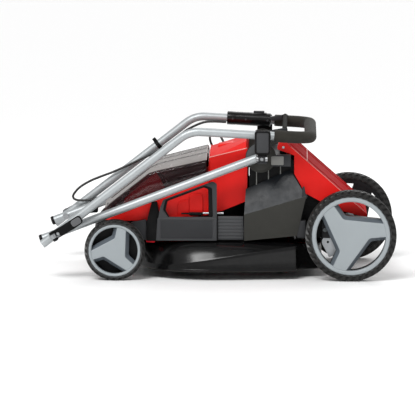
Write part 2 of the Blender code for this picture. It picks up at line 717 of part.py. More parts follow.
cut(blade, rod("blade_hole", 0.0055, (BLADE_X, 0, 0.03), (BLADE_X, 0, 0.06), 12,
               cutter=True))
set_origin(blade, (BLADE_X, 0.0, 0.0418))
finish(blade, BLADE)
finish(turned("blade_bolt", [(0.0, 0.0510), (0.0050, 0.0510), (0.0050, 0.0396),
                             (0.0110, 0.0396), (0.0110, 0.0320),
                             (0.0, 0.0320)], (BLADE_X, 0.0, 0.0), 12,
              axis="Z"), STEEL)

# ----------------------------------------------------------------------------
# Handle brackets on the deck and the pivot bolts
# ----------------------------------------------------------------------------
for label, side in SIDES:
    def span(y0, y1, s=side):
        return sorted((s * y0, s * y1))
    lo, hi = span(0.1725, 0.1836)
    bracket = plate("handle_bracket_" + label,
                    [arc(*PIVOT, 0.0350, 0.0, 345.0, 23)], lo, hi)
    lo, hi = span(0.1600, 0.1834)
    arm = box("bracket_arm_" + label, (0.1190, lo, 0.2800), (0.1815, hi, 0.3085),
              cutter=True)
    lo, hi = span(0.1454, 0.1650)
    boss = box("bracket_boss_" + label, (0.1250, lo, 0.2830),
               (0.1500, hi, 0.3030), cutter=True)
    join(bracket, arm, boss)
    cut(bracket, rod("bracket_hole_" + label, HOLE_R,
                     (PIVOT[0], side * 0.16, PIVOT[1]),
                     (PIVOT[0], side * 0.20, PIVOT[1]), 12, cutter=True))
    finish(bracket, DARK)


def make_bolt(name, centre, profile, side, pin_axis, pin_half):
    """A clamp bolt with its cross pin, on a lateral axis."""
    pts = [(r, side * h) for r, h in profile]
    if side > 0:
        pts.reverse()
    bolt = turned(name, pts, (centre[0], 0.0, centre[1]), 12)
    mid = Vector((centre[0], side * BARREL_OUT, centre[1]))
    half = Vector(pin_axis) * pin_half
    join(bolt, rod(name + "_pin", 0.0045, mid - half, mid + half, 12,
                   cutter=True))
    finish(bolt, STEEL)


def make_lever(name, centre, side, angle, length, width, pin_half,
               shift=0.0):
    """Cam lever: built pointing up at the origin, then turned and placed."""
    section = ([(0.0072 * math.cos(math.radians(a)),
                 0.0072 * math.sin(math.radians(a)))
                for a in range(0, -181, -30)]
               + [(-0.0072, 0.0100), (-0.0068, length - 0.003),
                  (-0.0045, length), (0.0020, length), (0.0042, length - 0.003),
                  (0.0045, 0.0120), (0.0072, 0.0060)])
    # section is (y, z) with -y outward for the left-hand side
    half = width / 2
    sections = [[(x, -side * y, z) for y, z in section]
                for x in (shift - half, shift + half)]
    body = loft(name, sections)
    turn = Matrix.Rotation(math.pi / 2 - angle, 4, "Y")
    place = Matrix.Translation((centre[0], side * BARREL_OUT, centre[1])) @ turn
    ys = sorted((side * 0.0048, -side * 0.0200))
    slot = box(name + "_slot", (-0.0055, ys[0], -0.0200), (0.0055, ys[1], 0.0048),
               cutter=True)
    bore = rod(name + "_bore", 0.0050, (-pin_half - 0.0006, 0, 0),
               (pin_half + 0.0006, 0, 0), 12, cutter=True)
    for ob in (body, slot, bore):
        ob.data.transform(place)
    cut(body, slot, bore)
    set_origin(body, (centre[0], side * BARREL_OUT, centre[1]))
    finish(body, DARK)


LEVER_ANGLE = math.radians(32.5)
for label, side in SIDES:
    make_bolt("pivot_bolt_" + label, PIVOT,
              [(0.0, 0.1665), (0.0080, 0.1665), (0.0080, 0.1720),
               (BOLT_R, 0.1720), (BOLT_R, 0.2060), (0.0125, 0.2060),
               (0.0125, CLAMP_OUT), (BOLT_R, CLAMP_OUT),
               (BOLT_R, BARREL_OUT), (0.0, BARREL_OUT)], side, (1, 0, 0),
              0.0130)
    make_lever("pivot_lever_" + label, PIVOT, side, math.pi / 2, 0.0690,
               0.0400, 0.0130, 0.0040)
    make_bolt("fold_bolt_" + label, FOLD,
              [(0.0, 0.1775), (0.0080, 0.1775), (0.0080, 0.1840),
               (BOLT_R, 0.1840), (BOLT_R, 0.2060), (0.0090, 0.2060),
               (0.0090, 0.2090), (BOLT_R, 0.2090), (BOLT_R, 0.2310),
               (0.0125, 0.2310), (0.0125, CLAMP_OUT), (BOLT_R, CLAMP_OUT),
               (BOLT_R, BARREL_OUT), (0.0, BARREL_OUT)], side,
              (math.sin(LEVER_ANGLE), 0, -math.cos(LEVER_ANGLE)), 0.0110)
    make_lever("fold_lever_" + label, FOLD, side, LEVER_ANGLE, 0.0900, 0.0260,
               0.0110)

# ----------------------------------------------------------------------------
# Handle tubes
# ----------------------------------------------------------------------------
along = (math.cos(FOLD_ANGLE), math.sin(FOLD_ANGLE))
for label, side in SIDES:
    y = side * LOWER_Y
    start = (PIVOT[0] - 0.0125 * along[0], y, PIVOT[1] - 0.0125 * along[1])
    end = (FOLD[0] + 0.0400 * along[0], y, FOLD[1] + 0.0400 * along[1])
    tube = rod("lower_tube_" + label, TUBE_R, start, end, 16)
    cut(tube, *[rod("lower_hole_%s_%d" % (label, i), HOLE_R,
                    (c[0], y - 0.02, c[1]), (c[0], y + 0.02, c[1]), 12,
                    cutter=True) for i, c in enumerate((PIVOT, FOLD))])
    set_origin(tube, (PIVOT[0], y, PIVOT[1]))
    finish(tube, SILVER)


def leg_z(x):
    return BEND[1] + LEG_SLOPE * (x - BEND[0])


def handle_corners():
    tail = (FOLD[0] - 0.0380 * math.cos(UPPER_ANGLE),
            FOLD[1] - 0.0380 * math.sin(UPPER_ANGLE))
    left = [(tail[0], -UPPER_Y, tail[1]), (BEND[0], -UPPER_Y, BEND[1]),
            (BAR_X, -UPPER_Y, leg_z(BAR_X))]
    return left + [(x, -y, z) for x, y, z in reversed(left)]


path = rounded_path(handle_corners(), (0.075, 0.042, 0.042, 0.075), (4, 5, 5, 4))
upper = pipe("upper_handle", path, TUBE_R, 2)
cut(upper, *[rod("upper_hole_" + label, HOLE_R,
                 (FOLD[0], side * UPPER_Y - 0.02, FOLD[1]),
                 (FOLD[0], side * UPPER_Y + 0.02, FOLD[1]), 12, cutter=True)
             for label, side in SIDES])
set_origin(upper, (FOLD[0], 0.0, FOLD[1]))
finish(upper, SILVER)

GRIP_X = 0.1410
FAR_X = GRIP_X - 0.0030            # the sleeve starts a little sooner there
corners = [(GRIP_X, -UPPER_Y, leg_z(GRIP_X)), (BAR_X, -UPPER_Y, leg_z(BAR_X)),
           (BAR_X, UPPER_Y, leg_z(BAR_X)), (FAR_X, UPPER_Y, leg_z(FAR_X))]
path = rounded_path(corners, (0.042, 0.042), (5, 5))
grip = pipe("grip", path, 0.0150, 2)
longer = [path[0] - Vector((0.01, 0.0, 0.01 * LEG_SLOPE))] + path[1:-1]
longer += [path[-1] - Vector((0.01, 0.0, 0.01 * LEG_SLOPE))]
cut(grip, pipe("grip_bore", longer, TUBE_R + 0.0006, 2, cutter=True))
finish(grip, FOAM)

# ----------------------------------------------------------------------------
# Switch housing, lock-off button and start bail
# ----------------------------------------------------------------------------
SWITCH = (0.0155, 0.1280)
switch = rod("switch_box", 0.0175, (SWITCH[0], UPPER_Y, leg_z(SWITCH[0])),
             (SWITCH[1], UPPER_Y, leg_z(SWITCH[1])), 20)
cut(switch,
    rod("switch_bore", TUBE_R + 0.0006, (0.0, UPPER_Y, leg_z(0.0)),
        (0.1500, UPPER_Y, leg_z(0.1500)), 16, cutter=True),
    box("button_pocket", (0.0835, UPPER_Y - 0.0065, 0.3737),
        (0.1125, UPPER_Y + 0.0065, 0.3900), cutter=True))
finish(switch, BLACK)
button = box("lock_button", (0.0840, UPPER_Y - 0.0060, 0.3772),
             (0.1120, UPPER_Y + 0.0060, 0.3835))
finish(button, DARK)
set_origin(button, (0.0980, UPPER_Y, 0.3808))

BAIL_PIN, BAIL_BAR = (0.1330, 0.3655), (0.1660, 0.3710)
bail = rod("start_bail", 0.0060, (BAIL_BAR[0], -0.1900, BAIL_BAR[1]),
           (BAIL_BAR[0], 0.1900, BAIL_BAR[1]), 12)
for label, side in SIDES:
    lo, hi = sorted((side * 0.1925, side * 0.1955))
    outline = (arc(*BAIL_BAR, 0.0060, -80.0, 100.0, 5)
               + arc(*BAIL_PIN, 0.0060, 100.0, 280.0, 5))
    join(bail,
         rod("bail_knob_" + label, 0.0100, (BAIL_BAR[0], side * 0.1800, BAIL_BAR[1]),
             (BAIL_BAR[0], side * 0.1930, BAIL_BAR[1]), 16, cutter=True),
         plate("bail_arm_" + label, [outline], lo, hi, cutter=True),
         rod("bail_pin_" + label, 0.0035, (BAIL_PIN[0], side * 0.1940, BAIL_PIN[1]),
             (BAIL_PIN[0], side * 0.2090, BAIL_PIN[1]), 10, cutter=True))
set_origin(bail, (BAIL_PIN[0], 0.0, BAIL_PIN[1]))
finish(bail, BLACK)

# ----------------------------------------------------------------------------
# Control cable: under the upper leg, a slack loop at the fold joint, along the
# lower tube, then an arch into the hood
# ----------------------------------------------------------------------------


def below_leg(x, inward, gap):
    """Point beside the sloping leg: gap is measured square to the leg."""
    z = BEND[1] + (x - BEND[0]) * math.tan(UPPER_ANGLE)
    return (x, UPPER_Y - inward, z - gap / math.cos(UPPER_ANGLE))


route = [(SWITCH[0] - 0.0024, UPPER_Y - 0.0096, leg_z(SWITCH[0]) - 0.0106),
         (-0.0200, UPPER_Y - 0.0092, leg_z(-0.0200) - 0.0112),
         (-0.0480, UPPER_Y - 0.0060, leg_z(-0.0480) - 0.0160),
         below_leg(-0.0850, 0.0005, 0.0165), below_leg(-0.1200, 0.0020, 0.0150),
         below_leg(-0.1600, 0.0070, 0.0132), below_leg(-0.1800, 0.0115, 0.0098),
         below_leg(-0.1980, 0.0142, 0.0048),
         (-0.2400, UPPER_Y - 0.0152, 0.2430),
         (-0.2800, UPPER_Y - 0.0152, 0.2250),
         (-0.3080, UPPER_Y - 0.0158, 0.2145),
         (-0.3380, UPPER_Y - 0.0165, 0.2021),
         (-0.3637, UPPER_Y - 0.0175, 0.1869),
         (-0.3789, UPPER_Y - 0.0190, 0.1717),
         (-0.3840, UPPER_Y - 0.0210, 0.1600),
         (-0.3760, UPPER_Y - 0.0230, 0.1532),
         (-0.3590, UPPER_Y - 0.0245, 0.1515),
         (-0.3356, UPPER_Y - 0.0250, 0.1534)]
finish(pipe("cable_upper", smooth_route(route, 0.0140), CABLE_R, 2), CABLE)

SIDE_Y = LOWER_Y - TUBE_R - CABLE_R - 0.0008


def on_lower(distance, lift=0.0):
    """Point beside the right-hand lower tube, by distance from the pivot."""
    return (PIVOT[0] + distance * along[0] + lift * along[1],
            PIVOT[1] + distance * along[1] - lift * along[0])


lift0 = 0.0152
p = [(-0.3338, 0.1539), on_lower(0.4500, lift0 - 0.0005),
     on_lower(0.4250, 0.0115), on_lower(0.3950, 0.0050), on_lower(0.3600, 0.0),
     on_lower(0.2800, 0.0), on_lower(0.2200, 0.0), on_lower(0.1500, 0.0)]
ys = [LOWER_Y, LOWER_Y - 0.0010, LOWER_Y - 0.0085, LOWER_Y - 0.0135, SIDE_Y,
      SIDE_Y, SIDE_Y, SIDE_Y]
route = [(x, y, z) for (x, z), y in zip(p, ys)]
finish(pipe("cable_lower", smooth_route(route, 0.0160), CABLE_R, 2), CABLE)

x0, z0 = on_lower(0.1496)
x1, z1 = on_lower(0.1380)
route = [(x0, SIDE_Y, z0), (x1, SIDE_Y - 0.0006, z1 + 0.0005),
         (-0.0170, 0.1755, 0.2700), (-0.0185, 0.1720, 0.2840),
         (-0.0222, 0.1700, 0.2974), (-0.0270, 0.1680, 0.3110),
         (-0.0265, 0.1660, 0.3235), (-0.0140, 0.1630, 0.3320),
         (-0.0008, 0.1600, 0.3225), (0.0056, 0.1570, 0.3120),
         (0.0130, 0.1520, 0.2985), (0.0150, 0.1440, 0.2925),
         (0.0155, 0.1357, 0.2915)]
finish(pipe("cable_deck", smooth_route(route, 0.0085), CABLE_R, 2), CABLE)
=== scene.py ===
"""Looks of the push lawn mower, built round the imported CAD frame."""

import json
import math
import random

import bmesh
import bpy
from mathutils import Matrix, Vector


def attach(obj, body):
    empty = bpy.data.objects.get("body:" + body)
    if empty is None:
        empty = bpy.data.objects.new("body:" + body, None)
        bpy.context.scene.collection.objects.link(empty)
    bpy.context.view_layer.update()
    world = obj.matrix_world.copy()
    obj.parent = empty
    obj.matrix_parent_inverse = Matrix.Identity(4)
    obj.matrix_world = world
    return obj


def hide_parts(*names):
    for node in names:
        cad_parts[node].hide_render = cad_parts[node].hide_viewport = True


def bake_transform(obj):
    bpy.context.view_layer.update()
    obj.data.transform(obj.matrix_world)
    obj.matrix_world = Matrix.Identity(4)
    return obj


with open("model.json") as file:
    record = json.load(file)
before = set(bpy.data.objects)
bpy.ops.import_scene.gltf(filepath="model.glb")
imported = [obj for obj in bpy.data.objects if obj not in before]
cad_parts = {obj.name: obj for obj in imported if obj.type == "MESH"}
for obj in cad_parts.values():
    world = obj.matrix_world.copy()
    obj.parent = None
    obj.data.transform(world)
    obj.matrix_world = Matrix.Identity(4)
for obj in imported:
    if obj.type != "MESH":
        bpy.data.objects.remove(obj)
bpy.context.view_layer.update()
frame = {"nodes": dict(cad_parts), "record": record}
NODES = frame["nodes"]
REC = frame["record"]
BODY = {n: b for b, ns in REC["behaviour"]["bodies"].items() for n in ns}
SIDES = (("left", -1.0), ("right", 1.0))
rnd = random.Random(7)


# ---------------------------------------------------------------------------
# Camera: long lens, slightly above and a touch to the rear of square-on
# ---------------------------------------------------------------------------
AZ, EL = math.radians(1.6), math.radians(6.55)
back = Vector((math.sin(AZ) * math.cos(EL), -math.cos(AZ) * math.cos(EL),
               math.sin(EL)))
right = Vector((math.cos(AZ), math.sin(AZ), 0.0))
up = back.cross(right)
cam_data = bpy.data.cameras.new("camera")
cam_data.lens = 3335.0 / 415.0 * 36.0
cam_data.sensor_width = 36.0
cam_data.sensor_fit = "HORIZONTAL"
cam_data.clip_end = 60.0
cam = bpy.data.objects.new("camera", cam_data)
cam.matrix_world = Matrix((
    (right.x, up.x, back.x, 0.2048), (right.y, up.y, back.y, -8.3807),
    (right.z, up.z, back.z, 1.1191), (0, 0, 0, 1)))
bpy.context.scene.collection.objects.link(cam)
bpy.context.scene.camera = cam
view = bpy.context.scene.view_settings
view.view_transform = "Standard"
view.look = "None"
view.exposure = 0.0
view.gamma = 1.0


# ---------------------------------------------------------------------------
# Materials
# ---------------------------------------------------------------------------
class Nodes:
    def __init__(self, mat):
        self.tree = mat.node_tree
        self.bsdf = self.tree.nodes["Principled BSDF"]
        self.coord = self.add("ShaderNodeTexCoord")

    def add(self, kind, **values):
        node = self.tree.nodes.new(kind)
        for key, value in values.items():
            if hasattr(node, key) and key not in node.inputs:
                setattr(node, key, value)
            else:
                node.inputs[key].default_value = value
        return node

    def link(self, a, b):
        self.tree.links.new(a, b)

    def noise(self, scale, detail=4.0, rough=0.6, stretch=None):
        node = self.add("ShaderNodeTexNoise")
        node.inputs["Scale"].default_value = scale
        node.inputs["Detail"].default_value = detail
        node.inputs["Roughness"].default_value = rough
        if stretch:
            mapping = self.add("ShaderNodeMapping")
            mapping.inputs["Scale"].default_value = stretch
            self.link(self.coord.outputs["Object"], mapping.inputs["Vector"])
            self.link(mapping.outputs["Vector"], node.inputs["Vector"])
        else:
            self.link(self.coord.outputs["Object"], node.inputs["Vector"])
        return node.outputs["Fac"]

    def spread(self, fac, low, high, a=0.3, b=0.7):
        node = self.add("ShaderNodeMapRange")
        node.inputs["From Min"].default_value = a
        node.inputs["From Max"].default_value = b
        node.inputs["To Min"].default_value = low
        node.inputs["To Max"].default_value = high
        self.link(fac, node.inputs["Value"])
        return node.outputs["Result"]

    def blend(self, fac, c0, c1):
        node = self.add("ShaderNodeMix")
        node.data_type = "RGBA"
        node.inputs["A"].default_value = (*c0, 1.0) if len(c0) == 3 else c0
        node.inputs["B"].default_value = (*c1, 1.0) if len(c1) == 3 else c1
        for s in node.inputs:
            if s.type == "RGBA" and s.name == "A":
                s.default_value = (*c0, 1.0)
            if s.type == "RGBA" and s.name == "B":
                s.default_value = (*c1, 1.0)
        self.link(fac, node.inputs["Factor"])
        return [o for o in node.outputs if o.type == "RGBA"][0]

    def bump(self, height, strength, distance, normal=None):
        node = self.add("ShaderNodeBump")
        node.inputs["Strength"].default_value = strength
        node.inputs["Distance"].default_value = distance
        self.link(height, node.inputs["Height"])
        if normal is not None:
            self.link(normal, node.inputs["Normal"])
        return node.outputs["Normal"]


def new_material(name, rough, metal=0.0, spec=0.5):
    mat = bpy.data.materials.new(name)
    mat.use_nodes = True
    n = Nodes(mat)
    n.bsdf.inputs["Metallic"].default_value = metal
    n.bsdf.inputs["Roughness"].default_value = rough
    n.bsdf.inputs["Specular IOR Level"].default_value = spec
    return mat, n


def scaled(rgb, k):
    return tuple(min(1.0, c * k) for c in rgb)


def plastic(name, rgb, rough, var=0.10, grain=0.10, grain_scale=1600.0,
            rough_var=0.08, spec=0.5, dust=0.0, coat=0.0, wear=0.0):
    """Moulded plastic: cloudy tone, fine surface grain, patchy gloss."""
    mat, n = new_material(name, rough, 0.0, spec)
    cloud = n.noise(22.0, 5.0, 0.55)
    colour = n.blend(n.spread(cloud, 0.0, 1.0), scaled(rgb, 1 - var),
                     scaled(rgb, 1 + var))
    if wear > 0:
        geo = n.add("ShaderNodeNewGeometry")
        edge = n.spread(geo.outputs["Pointiness"], 0.0, wear, 0.52, 0.60)
        mix = n.add("ShaderNodeMix")
        mix.data_type = "RGBA"
        n.link(edge, mix.inputs["Factor"])
        cols = [s for s in mix.inputs if s.type == "RGBA"]
        n.link(colour, cols[0])
        cols[1].default_value = (*scaled([c + 0.05 for c in rgb], 1.9), 1.0)
        colour = [o for o in mix.outputs if o.type == "RGBA"][0]
    if dust > 0:
        speck = n.noise(90.0, 8.0, 0.75)
        mix = n.add("ShaderNodeMix")
        mix.data_type = "RGBA"
        n.link(n.spread(speck, 0.0, dust, 0.50, 0.72), mix.inputs["Factor"])
        cols = [s for s in mix.inputs if s.type == "RGBA"]
        n.link(colour, cols[0])
        cols[1].default_value = (0.30, 0.28, 0.25, 1.0)
        colour = [o for o in mix.outputs if o.type == "RGBA"][0]
    n.link(colour, n.bsdf.inputs["Base Color"])
    streak = n.noise(60.0, 6.0, 0.7)
    n.link(n.spread(streak, max(0.02, rough - rough_var), rough + rough_var),
           n.bsdf.inputs["Roughness"])
    fine = n.noise(grain_scale, 3.0, 0.6)
    wave = n.noise(14.0, 2.0, 0.5)
    first = n.bump(fine, grain, 0.00035)
    n.link(n.bump(wave, 0.05, 0.004, first), n.bsdf.inputs["Normal"])
    if coat:
        n.bsdf.inputs["Coat Weight"].default_value = coat
        n.bsdf.inputs["Coat Roughness"].default_value = 0.08
    return mat


def metal(name, rgb, rough, stretch=(60, 60, 60), var=0.05, scratch=0.06,
          metallic=1.0):
    """Drawn or plated metal with fine lines and uneven polish."""
    mat, n = new_material(name, rough, metallic)
    lines = n.noise(14.0, 6.0, 0.7, stretch)
    cloud = n.noise(30.0, 4.0, 0.5)
    n.link(n.blend(n.spread(cloud, 0.0, 1.0), scaled(rgb, 1 - var),
                   scaled(rgb, 1 + var)), n.bsdf.inputs["Base Color"])
    n.link(n.spread(lines, max(0.03, rough - 0.09), rough + 0.09),
           n.bsdf.inputs["Roughness"])
    n.link(n.bump(lines, scratch, 0.0003), n.bsdf.inputs["Normal"])
    return mat


def rubber(name, rgb, rough=0.72):
    mat, n = new_material(name, rough, 0.0, 0.28)
    dust = n.noise(38.0, 8.0, 0.72)
    n.link(n.blend(n.spread(dust, 0.0, 1.0, 0.45, 0.75), rgb,
                   tuple(c * 1.6 + 0.005 for c in rgb)),
           n.bsdf.inputs["Base Color"])
    n.link(n.spread(n.noise(120.0), rough - 0.12, rough + 0.1),
           n.bsdf.inputs["Roughness"])
    n.link(n.bump(n.noise(900.0, 5.0, 0.7), 0.25, 0.0004),
           n.bsdf.inputs["Normal"])
    return mat


def foam(name, rgb):
    """Closed-cell foam: pitted skin with soft patches."""
    mat, n = new_material(name, 0.92, 0.0, 0.25)
    cells = n.add("ShaderNodeTexVoronoi")
    cells.inputs["Scale"].default_value = 950.0
    n.link(n.coord.outputs["Object"], cells.inputs["Vector"])
    patch = n.noise(26.0, 6.0, 0.6)
    n.link(n.blend(n.spread(patch, 0.0, 1.0), scaled(rgb, 0.82),
                   scaled(rgb, 1.20)), n.bsdf.inputs["Base Color"])
    first = n.bump(cells.outputs["Distance"], 0.55, 0.0005)
    n.link(n.bump(n.noise(160.0, 4.0), 0.25, 0.0009, first),
           n.bsdf.inputs["Normal"])
    n.bsdf.inputs["Sheen Weight"].default_value = 0.05
    n.bsdf.inputs["Sheen Roughness"].default_value = 0.6
    return mat


RED = plastic("red_plastic", (0.680, 0.0090, 0.0065), 0.42, var=0.05,
              grain=0.06, spec=0.17, wear=0.05)
# Darker copy of the red plastic: painted shade on the flap's top faces and raised strips, which face up and
# to the rear.
RED_PAINTED_SHADE = plastic("red_plastic_painted_shade", (0.400, 0.0060, 0.0085), 0.50,
                    var=0.06, grain=0.06, spec=0.02)
# Pale pink bead colour: painted highlight, a glint line laid along the hood ledge and the flap edges.
RED_PAINTED_HIGHLIGHT = plastic("red_painted_highlight_bead", (0.760, 0.340, 0.310), 0.30, var=0.05,
                  grain=0.05, spec=0.4)
BAIL = plastic("bail_black", (0.0130, 0.0122, 0.0105), 0.82, var=0.12,
               grain=0.2, spec=0.08)
RED_DEEP = plastic("red_plastic_inner", (0.72, 0.0080, 0.0180), 0.50, var=0.10,
                   spec=0.08)
BLACK_GLOSS = plastic("deck_black", (0.0028, 0.0028, 0.0030), 0.19, var=0.2,
                      grain=0.08, rough_var=0.05, spec=0.30, dust=0.01,
                      coat=0.08)
BLACK = plastic("black_plastic", (0.0036, 0.0036, 0.0038), 0.46, var=0.2,
                grain=0.22, spec=0.12, dust=0.01)
RIM_BLACK = plastic("rim_black", (0.0040, 0.0044, 0.0050), 0.5, var=0.2,
                    spec=0.2)
PANEL = plastic("panel_grey", (0.0330, 0.0342, 0.0368), 0.52, var=0.05,
                grain=0.30, spec=0.25, wear=0.2)
# Lighter copy of the panel grey: painted light on the upper-left sector of the bracket disc.
PANEL_PAINTED_LIGHT = plastic("panel_painted_light", (0.105, 0.110, 0.114), 0.42, var=0.10,
                      grain=0.2, spec=0.3)
PANEL_DARK = plastic("panel_dark_grey", (0.0190, 0.0198, 0.0220), 0.52, var=0.06,
                     grain=0.30, spec=0.25, wear=0.12)
WARM = plastic("fairing_grey", (0.0205, 0.0201, 0.0169), 0.62, var=0.06,
               grain=0.35, spec=0.2, wear=0.12)
GUARD = plastic("guard_gloss", (0.0110, 0.0130, 0.0155), 0.30, var=0.45,
                grain=0.05, spec=0.14)
LEVER = plastic("lever_grey", (0.085, 0.087, 0.092), 0.42, var=0.05,
                grain=0.25, spec=0.4, wear=0.3)
CAP = plastic("hub_cap_grey", (0.280, 0.310, 0.325), 0.42, var=0.03, grain=0.12,
              dust=0.02)
# Darker copy of the hub cap grey: painted shade on the deep drafted walls of the spoke openings.
CAP_PAINTED_SHADE = plastic("hub_cap_painted_shade", (0.092, 0.108, 0.124), 0.45, var=0.05,
                   grain=0.15)
# The carcass rubber is the tyre's black; the lugs get a lighter, glossier copy of the same rubber as painted
# highlight, which makes the grooves between them read as painted shade.
TYRE = rubber("tyre_rubber", (0.0036, 0.0036, 0.0035), 0.62)
TYRE_LUG_PAINTED_HIGHLIGHT = rubber("tyre_lug_painted_highlight", (0.0110, 0.0108, 0.0102), 0.36)
TYRE_EDGE = rubber("tyre_edge", (0.032, 0.033, 0.034), 0.6)
SILVER = metal("tube_silver", (0.385, 0.410, 0.420), 0.42, (90, 90, 90),
               metallic=0.40)
ZINC = metal("zinc_steel", (0.46, 0.48, 0.50), 0.38, (30, 30, 30), var=0.12,
             metallic=0.8)
CHROME = metal("chrome_pin", (0.33, 0.34, 0.35), 0.28, (30, 30, 30))
BLADE = metal("blade_steel", (0.16, 0.16, 0.17), 0.42, (12, 120, 120),
              var=0.15, metallic=0.8)
FOAM = foam("grip_foam", (0.021, 0.0195, 0.0155))
CABLE = plastic("cable_sheath", (0.007, 0.007, 0.007), 0.45, var=0.2)
BATTERY = plastic("battery_black", (0.016, 0.015, 0.015), 0.36, var=0.15,
                  grain=0.2)
LABELLESS = plastic("light_insert", (0.165, 0.165, 0.155), 0.40, var=0.08,
                    grain=0.2)

mat, n = new_material("smoked_cover", 0.10, 0.0, 0.22)
n.link(n.blend(n.spread(n.noise(12.0), 0.0, 1.0), (0.018, 0.006, 0.007),
               (0.030, 0.011, 0.012)), n.bsdf.inputs["Base Color"])
n.link(n.spread(n.noise(45.0, 6.0), 0.05, 0.16), n.bsdf.inputs["Roughness"])
n.link(n.bump(n.noise(25.0, 3.0), 0.05, 0.002), n.bsdf.inputs["Normal"])
n.bsdf.inputs["Alpha"].default_value = 0.50
SMOKE = mat
# Lighter, more opaque copy of the smoked cover for its top faces: painted reflection standing in for the
# sheen seen at a grazing angle.
mat, n = new_material("smoked_cover_painted_reflection", 0.22, 0.0, 0.6)
n.link(n.blend(n.spread(n.noise(12.0), 0.0, 1.0), (0.290, 0.268, 0.257),
               (0.345, 0.322, 0.310)), n.bsdf.inputs["Base Color"])
n.link(n.spread(n.noise(45.0, 6.0), 0.16, 0.30), n.bsdf.inputs["Roughness"])
n.link(n.bump(n.noise(25.0, 3.0), 0.05, 0.002), n.bsdf.inputs["Normal"])
n.bsdf.inputs["Alpha"].default_value = 0.80
SMOKE_PAINTED_REFLECTION = mat
mat, n = new_material("smoked_edge", 0.15, 0.0, 0.6)
n.link(n.blend(n.spread(n.noise(12.0), 0.0, 1.0), (0.010, 0.007, 0.007),
               (0.020, 0.015, 0.015)), n.bsdf.inputs["Base Color"])
n.link(n.spread(n.noise(45.0, 6.0), 0.10, 0.25), n.bsdf.inputs["Roughness"])
n.bsdf.inputs["Alpha"].default_value = 0.90
SMOKE_EDGE = mat

# ---------------------------------------------------------------------------
# Mesh helpers
# ---------------------------------------------------------------------------
PIECES = []


def put(name, mesh, mats, body, nodes=(), sharp=32.0, bevel=0.0,
        seg=2, limit=28.0):
    for m in (mats if isinstance(mats, (list, tuple)) else (mats,)):
        mesh.materials.append(m)
    mesh.shade_smooth()
    mesh.set_sharp_from_angle(angle=math.radians(sharp))
    ob = bpy.data.objects.new(name, mesh)
    bpy.context.scene.collection.objects.link(ob)
    if bevel > 0:
        mod = ob.modifiers.new("bevel", "BEVEL")
        mod.width = bevel
        mod.segments = seg
        mod.limit_method = "ANGLE"
        mod.angle_limit = math.radians(limit)
        mod.use_clamp_overlap = True
        mod.harden_normals = True
    if isinstance(body, str):
        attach(ob, body)
    for node in nodes:
        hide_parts(node)
    PIECES.append(ob)
    return ob


def to_mesh(name, bm, recalc=True):
    if recalc:
        bmesh.ops.recalc_face_normals(bm, faces=bm.faces)
    mesh = bpy.data.meshes.new(name)
    bm.to_mesh(mesh)
    bm.free()
    return mesh


def skin(node, mats, bevel=0.0012, seg=2, name=None, limit=26.0, sharp=32.0,
         choose=None):
    """The CAD node's own shape with rounded edges and a real finish."""
    src = NODES[node]
    bm = bmesh.new()
    bm.from_mesh(src.data)
    bm.transform(src.matrix_world)
    bmesh.ops.remove_doubles(bm, verts=bm.verts, dist=0.000004)
    bmesh.ops.dissolve_limit(bm, angle_limit=math.radians(1.2),
                             verts=bm.verts, edges=bm.edges)
    mesh = to_mesh(name or node + "_body", bm)
    ob = put(name or node + "_body", mesh, mats, BODY[node], [node],
             sharp, bevel, seg, limit)
    if choose:
        for p in mesh.polygons:
            p.material_index = choose(p)
    return ob


def join_meshes(name, bms):
    out = bmesh.new()
    for bm, index in bms:
        for f in bm.faces:
            f.material_index = index
        mesh = bpy.data.meshes.new("tmp")
        bm.to_mesh(mesh)
        bm.free()
        out.from_mesh(mesh)
        bpy.data.meshes.remove(mesh)
    return to_mesh(name, out, recalc=False)


def bm_lathe(profile, centre, segs, closed=True, phase=0.0, axis="Y"):
    bm = bmesh.new()
    rings = []
    for i in range(segs):
        a = math.tau * i / segs + phase
        c, s = math.cos(a), math.sin(a)
        if axis == "Y":
            ring = [bm.verts.new((centre[0] + r * c, centre[1] + h,
                                  centre[2] + r * s)) for r, h in profile]
        else:
            ring = [bm.verts.new((centre[0] + r * c, centre[1] + r * s,
                                  centre[2] + h)) for r, h in profile]
        rings.append(ring)
    count = len(profile)
    last = count if closed else count - 1
    for i in range(segs):
        a, b = rings[i], rings[(i + 1) % segs]
        for j in range(last):
            k = (j + 1) % count
            quad = (a[j], a[k], b[k], b[j])
            bm.faces.new(quad)
    bmesh.ops.remove_doubles(bm, verts=bm.verts, dist=0.000002)
    bmesh.ops.recalc_face_normals(bm, faces=bm.faces)
    return bm


def turn_of(loop):
    return sum(a[0] * b[1] - b[0] * a[1]
               for a, b in zip(loop, loop[1:] + loop[:1]))


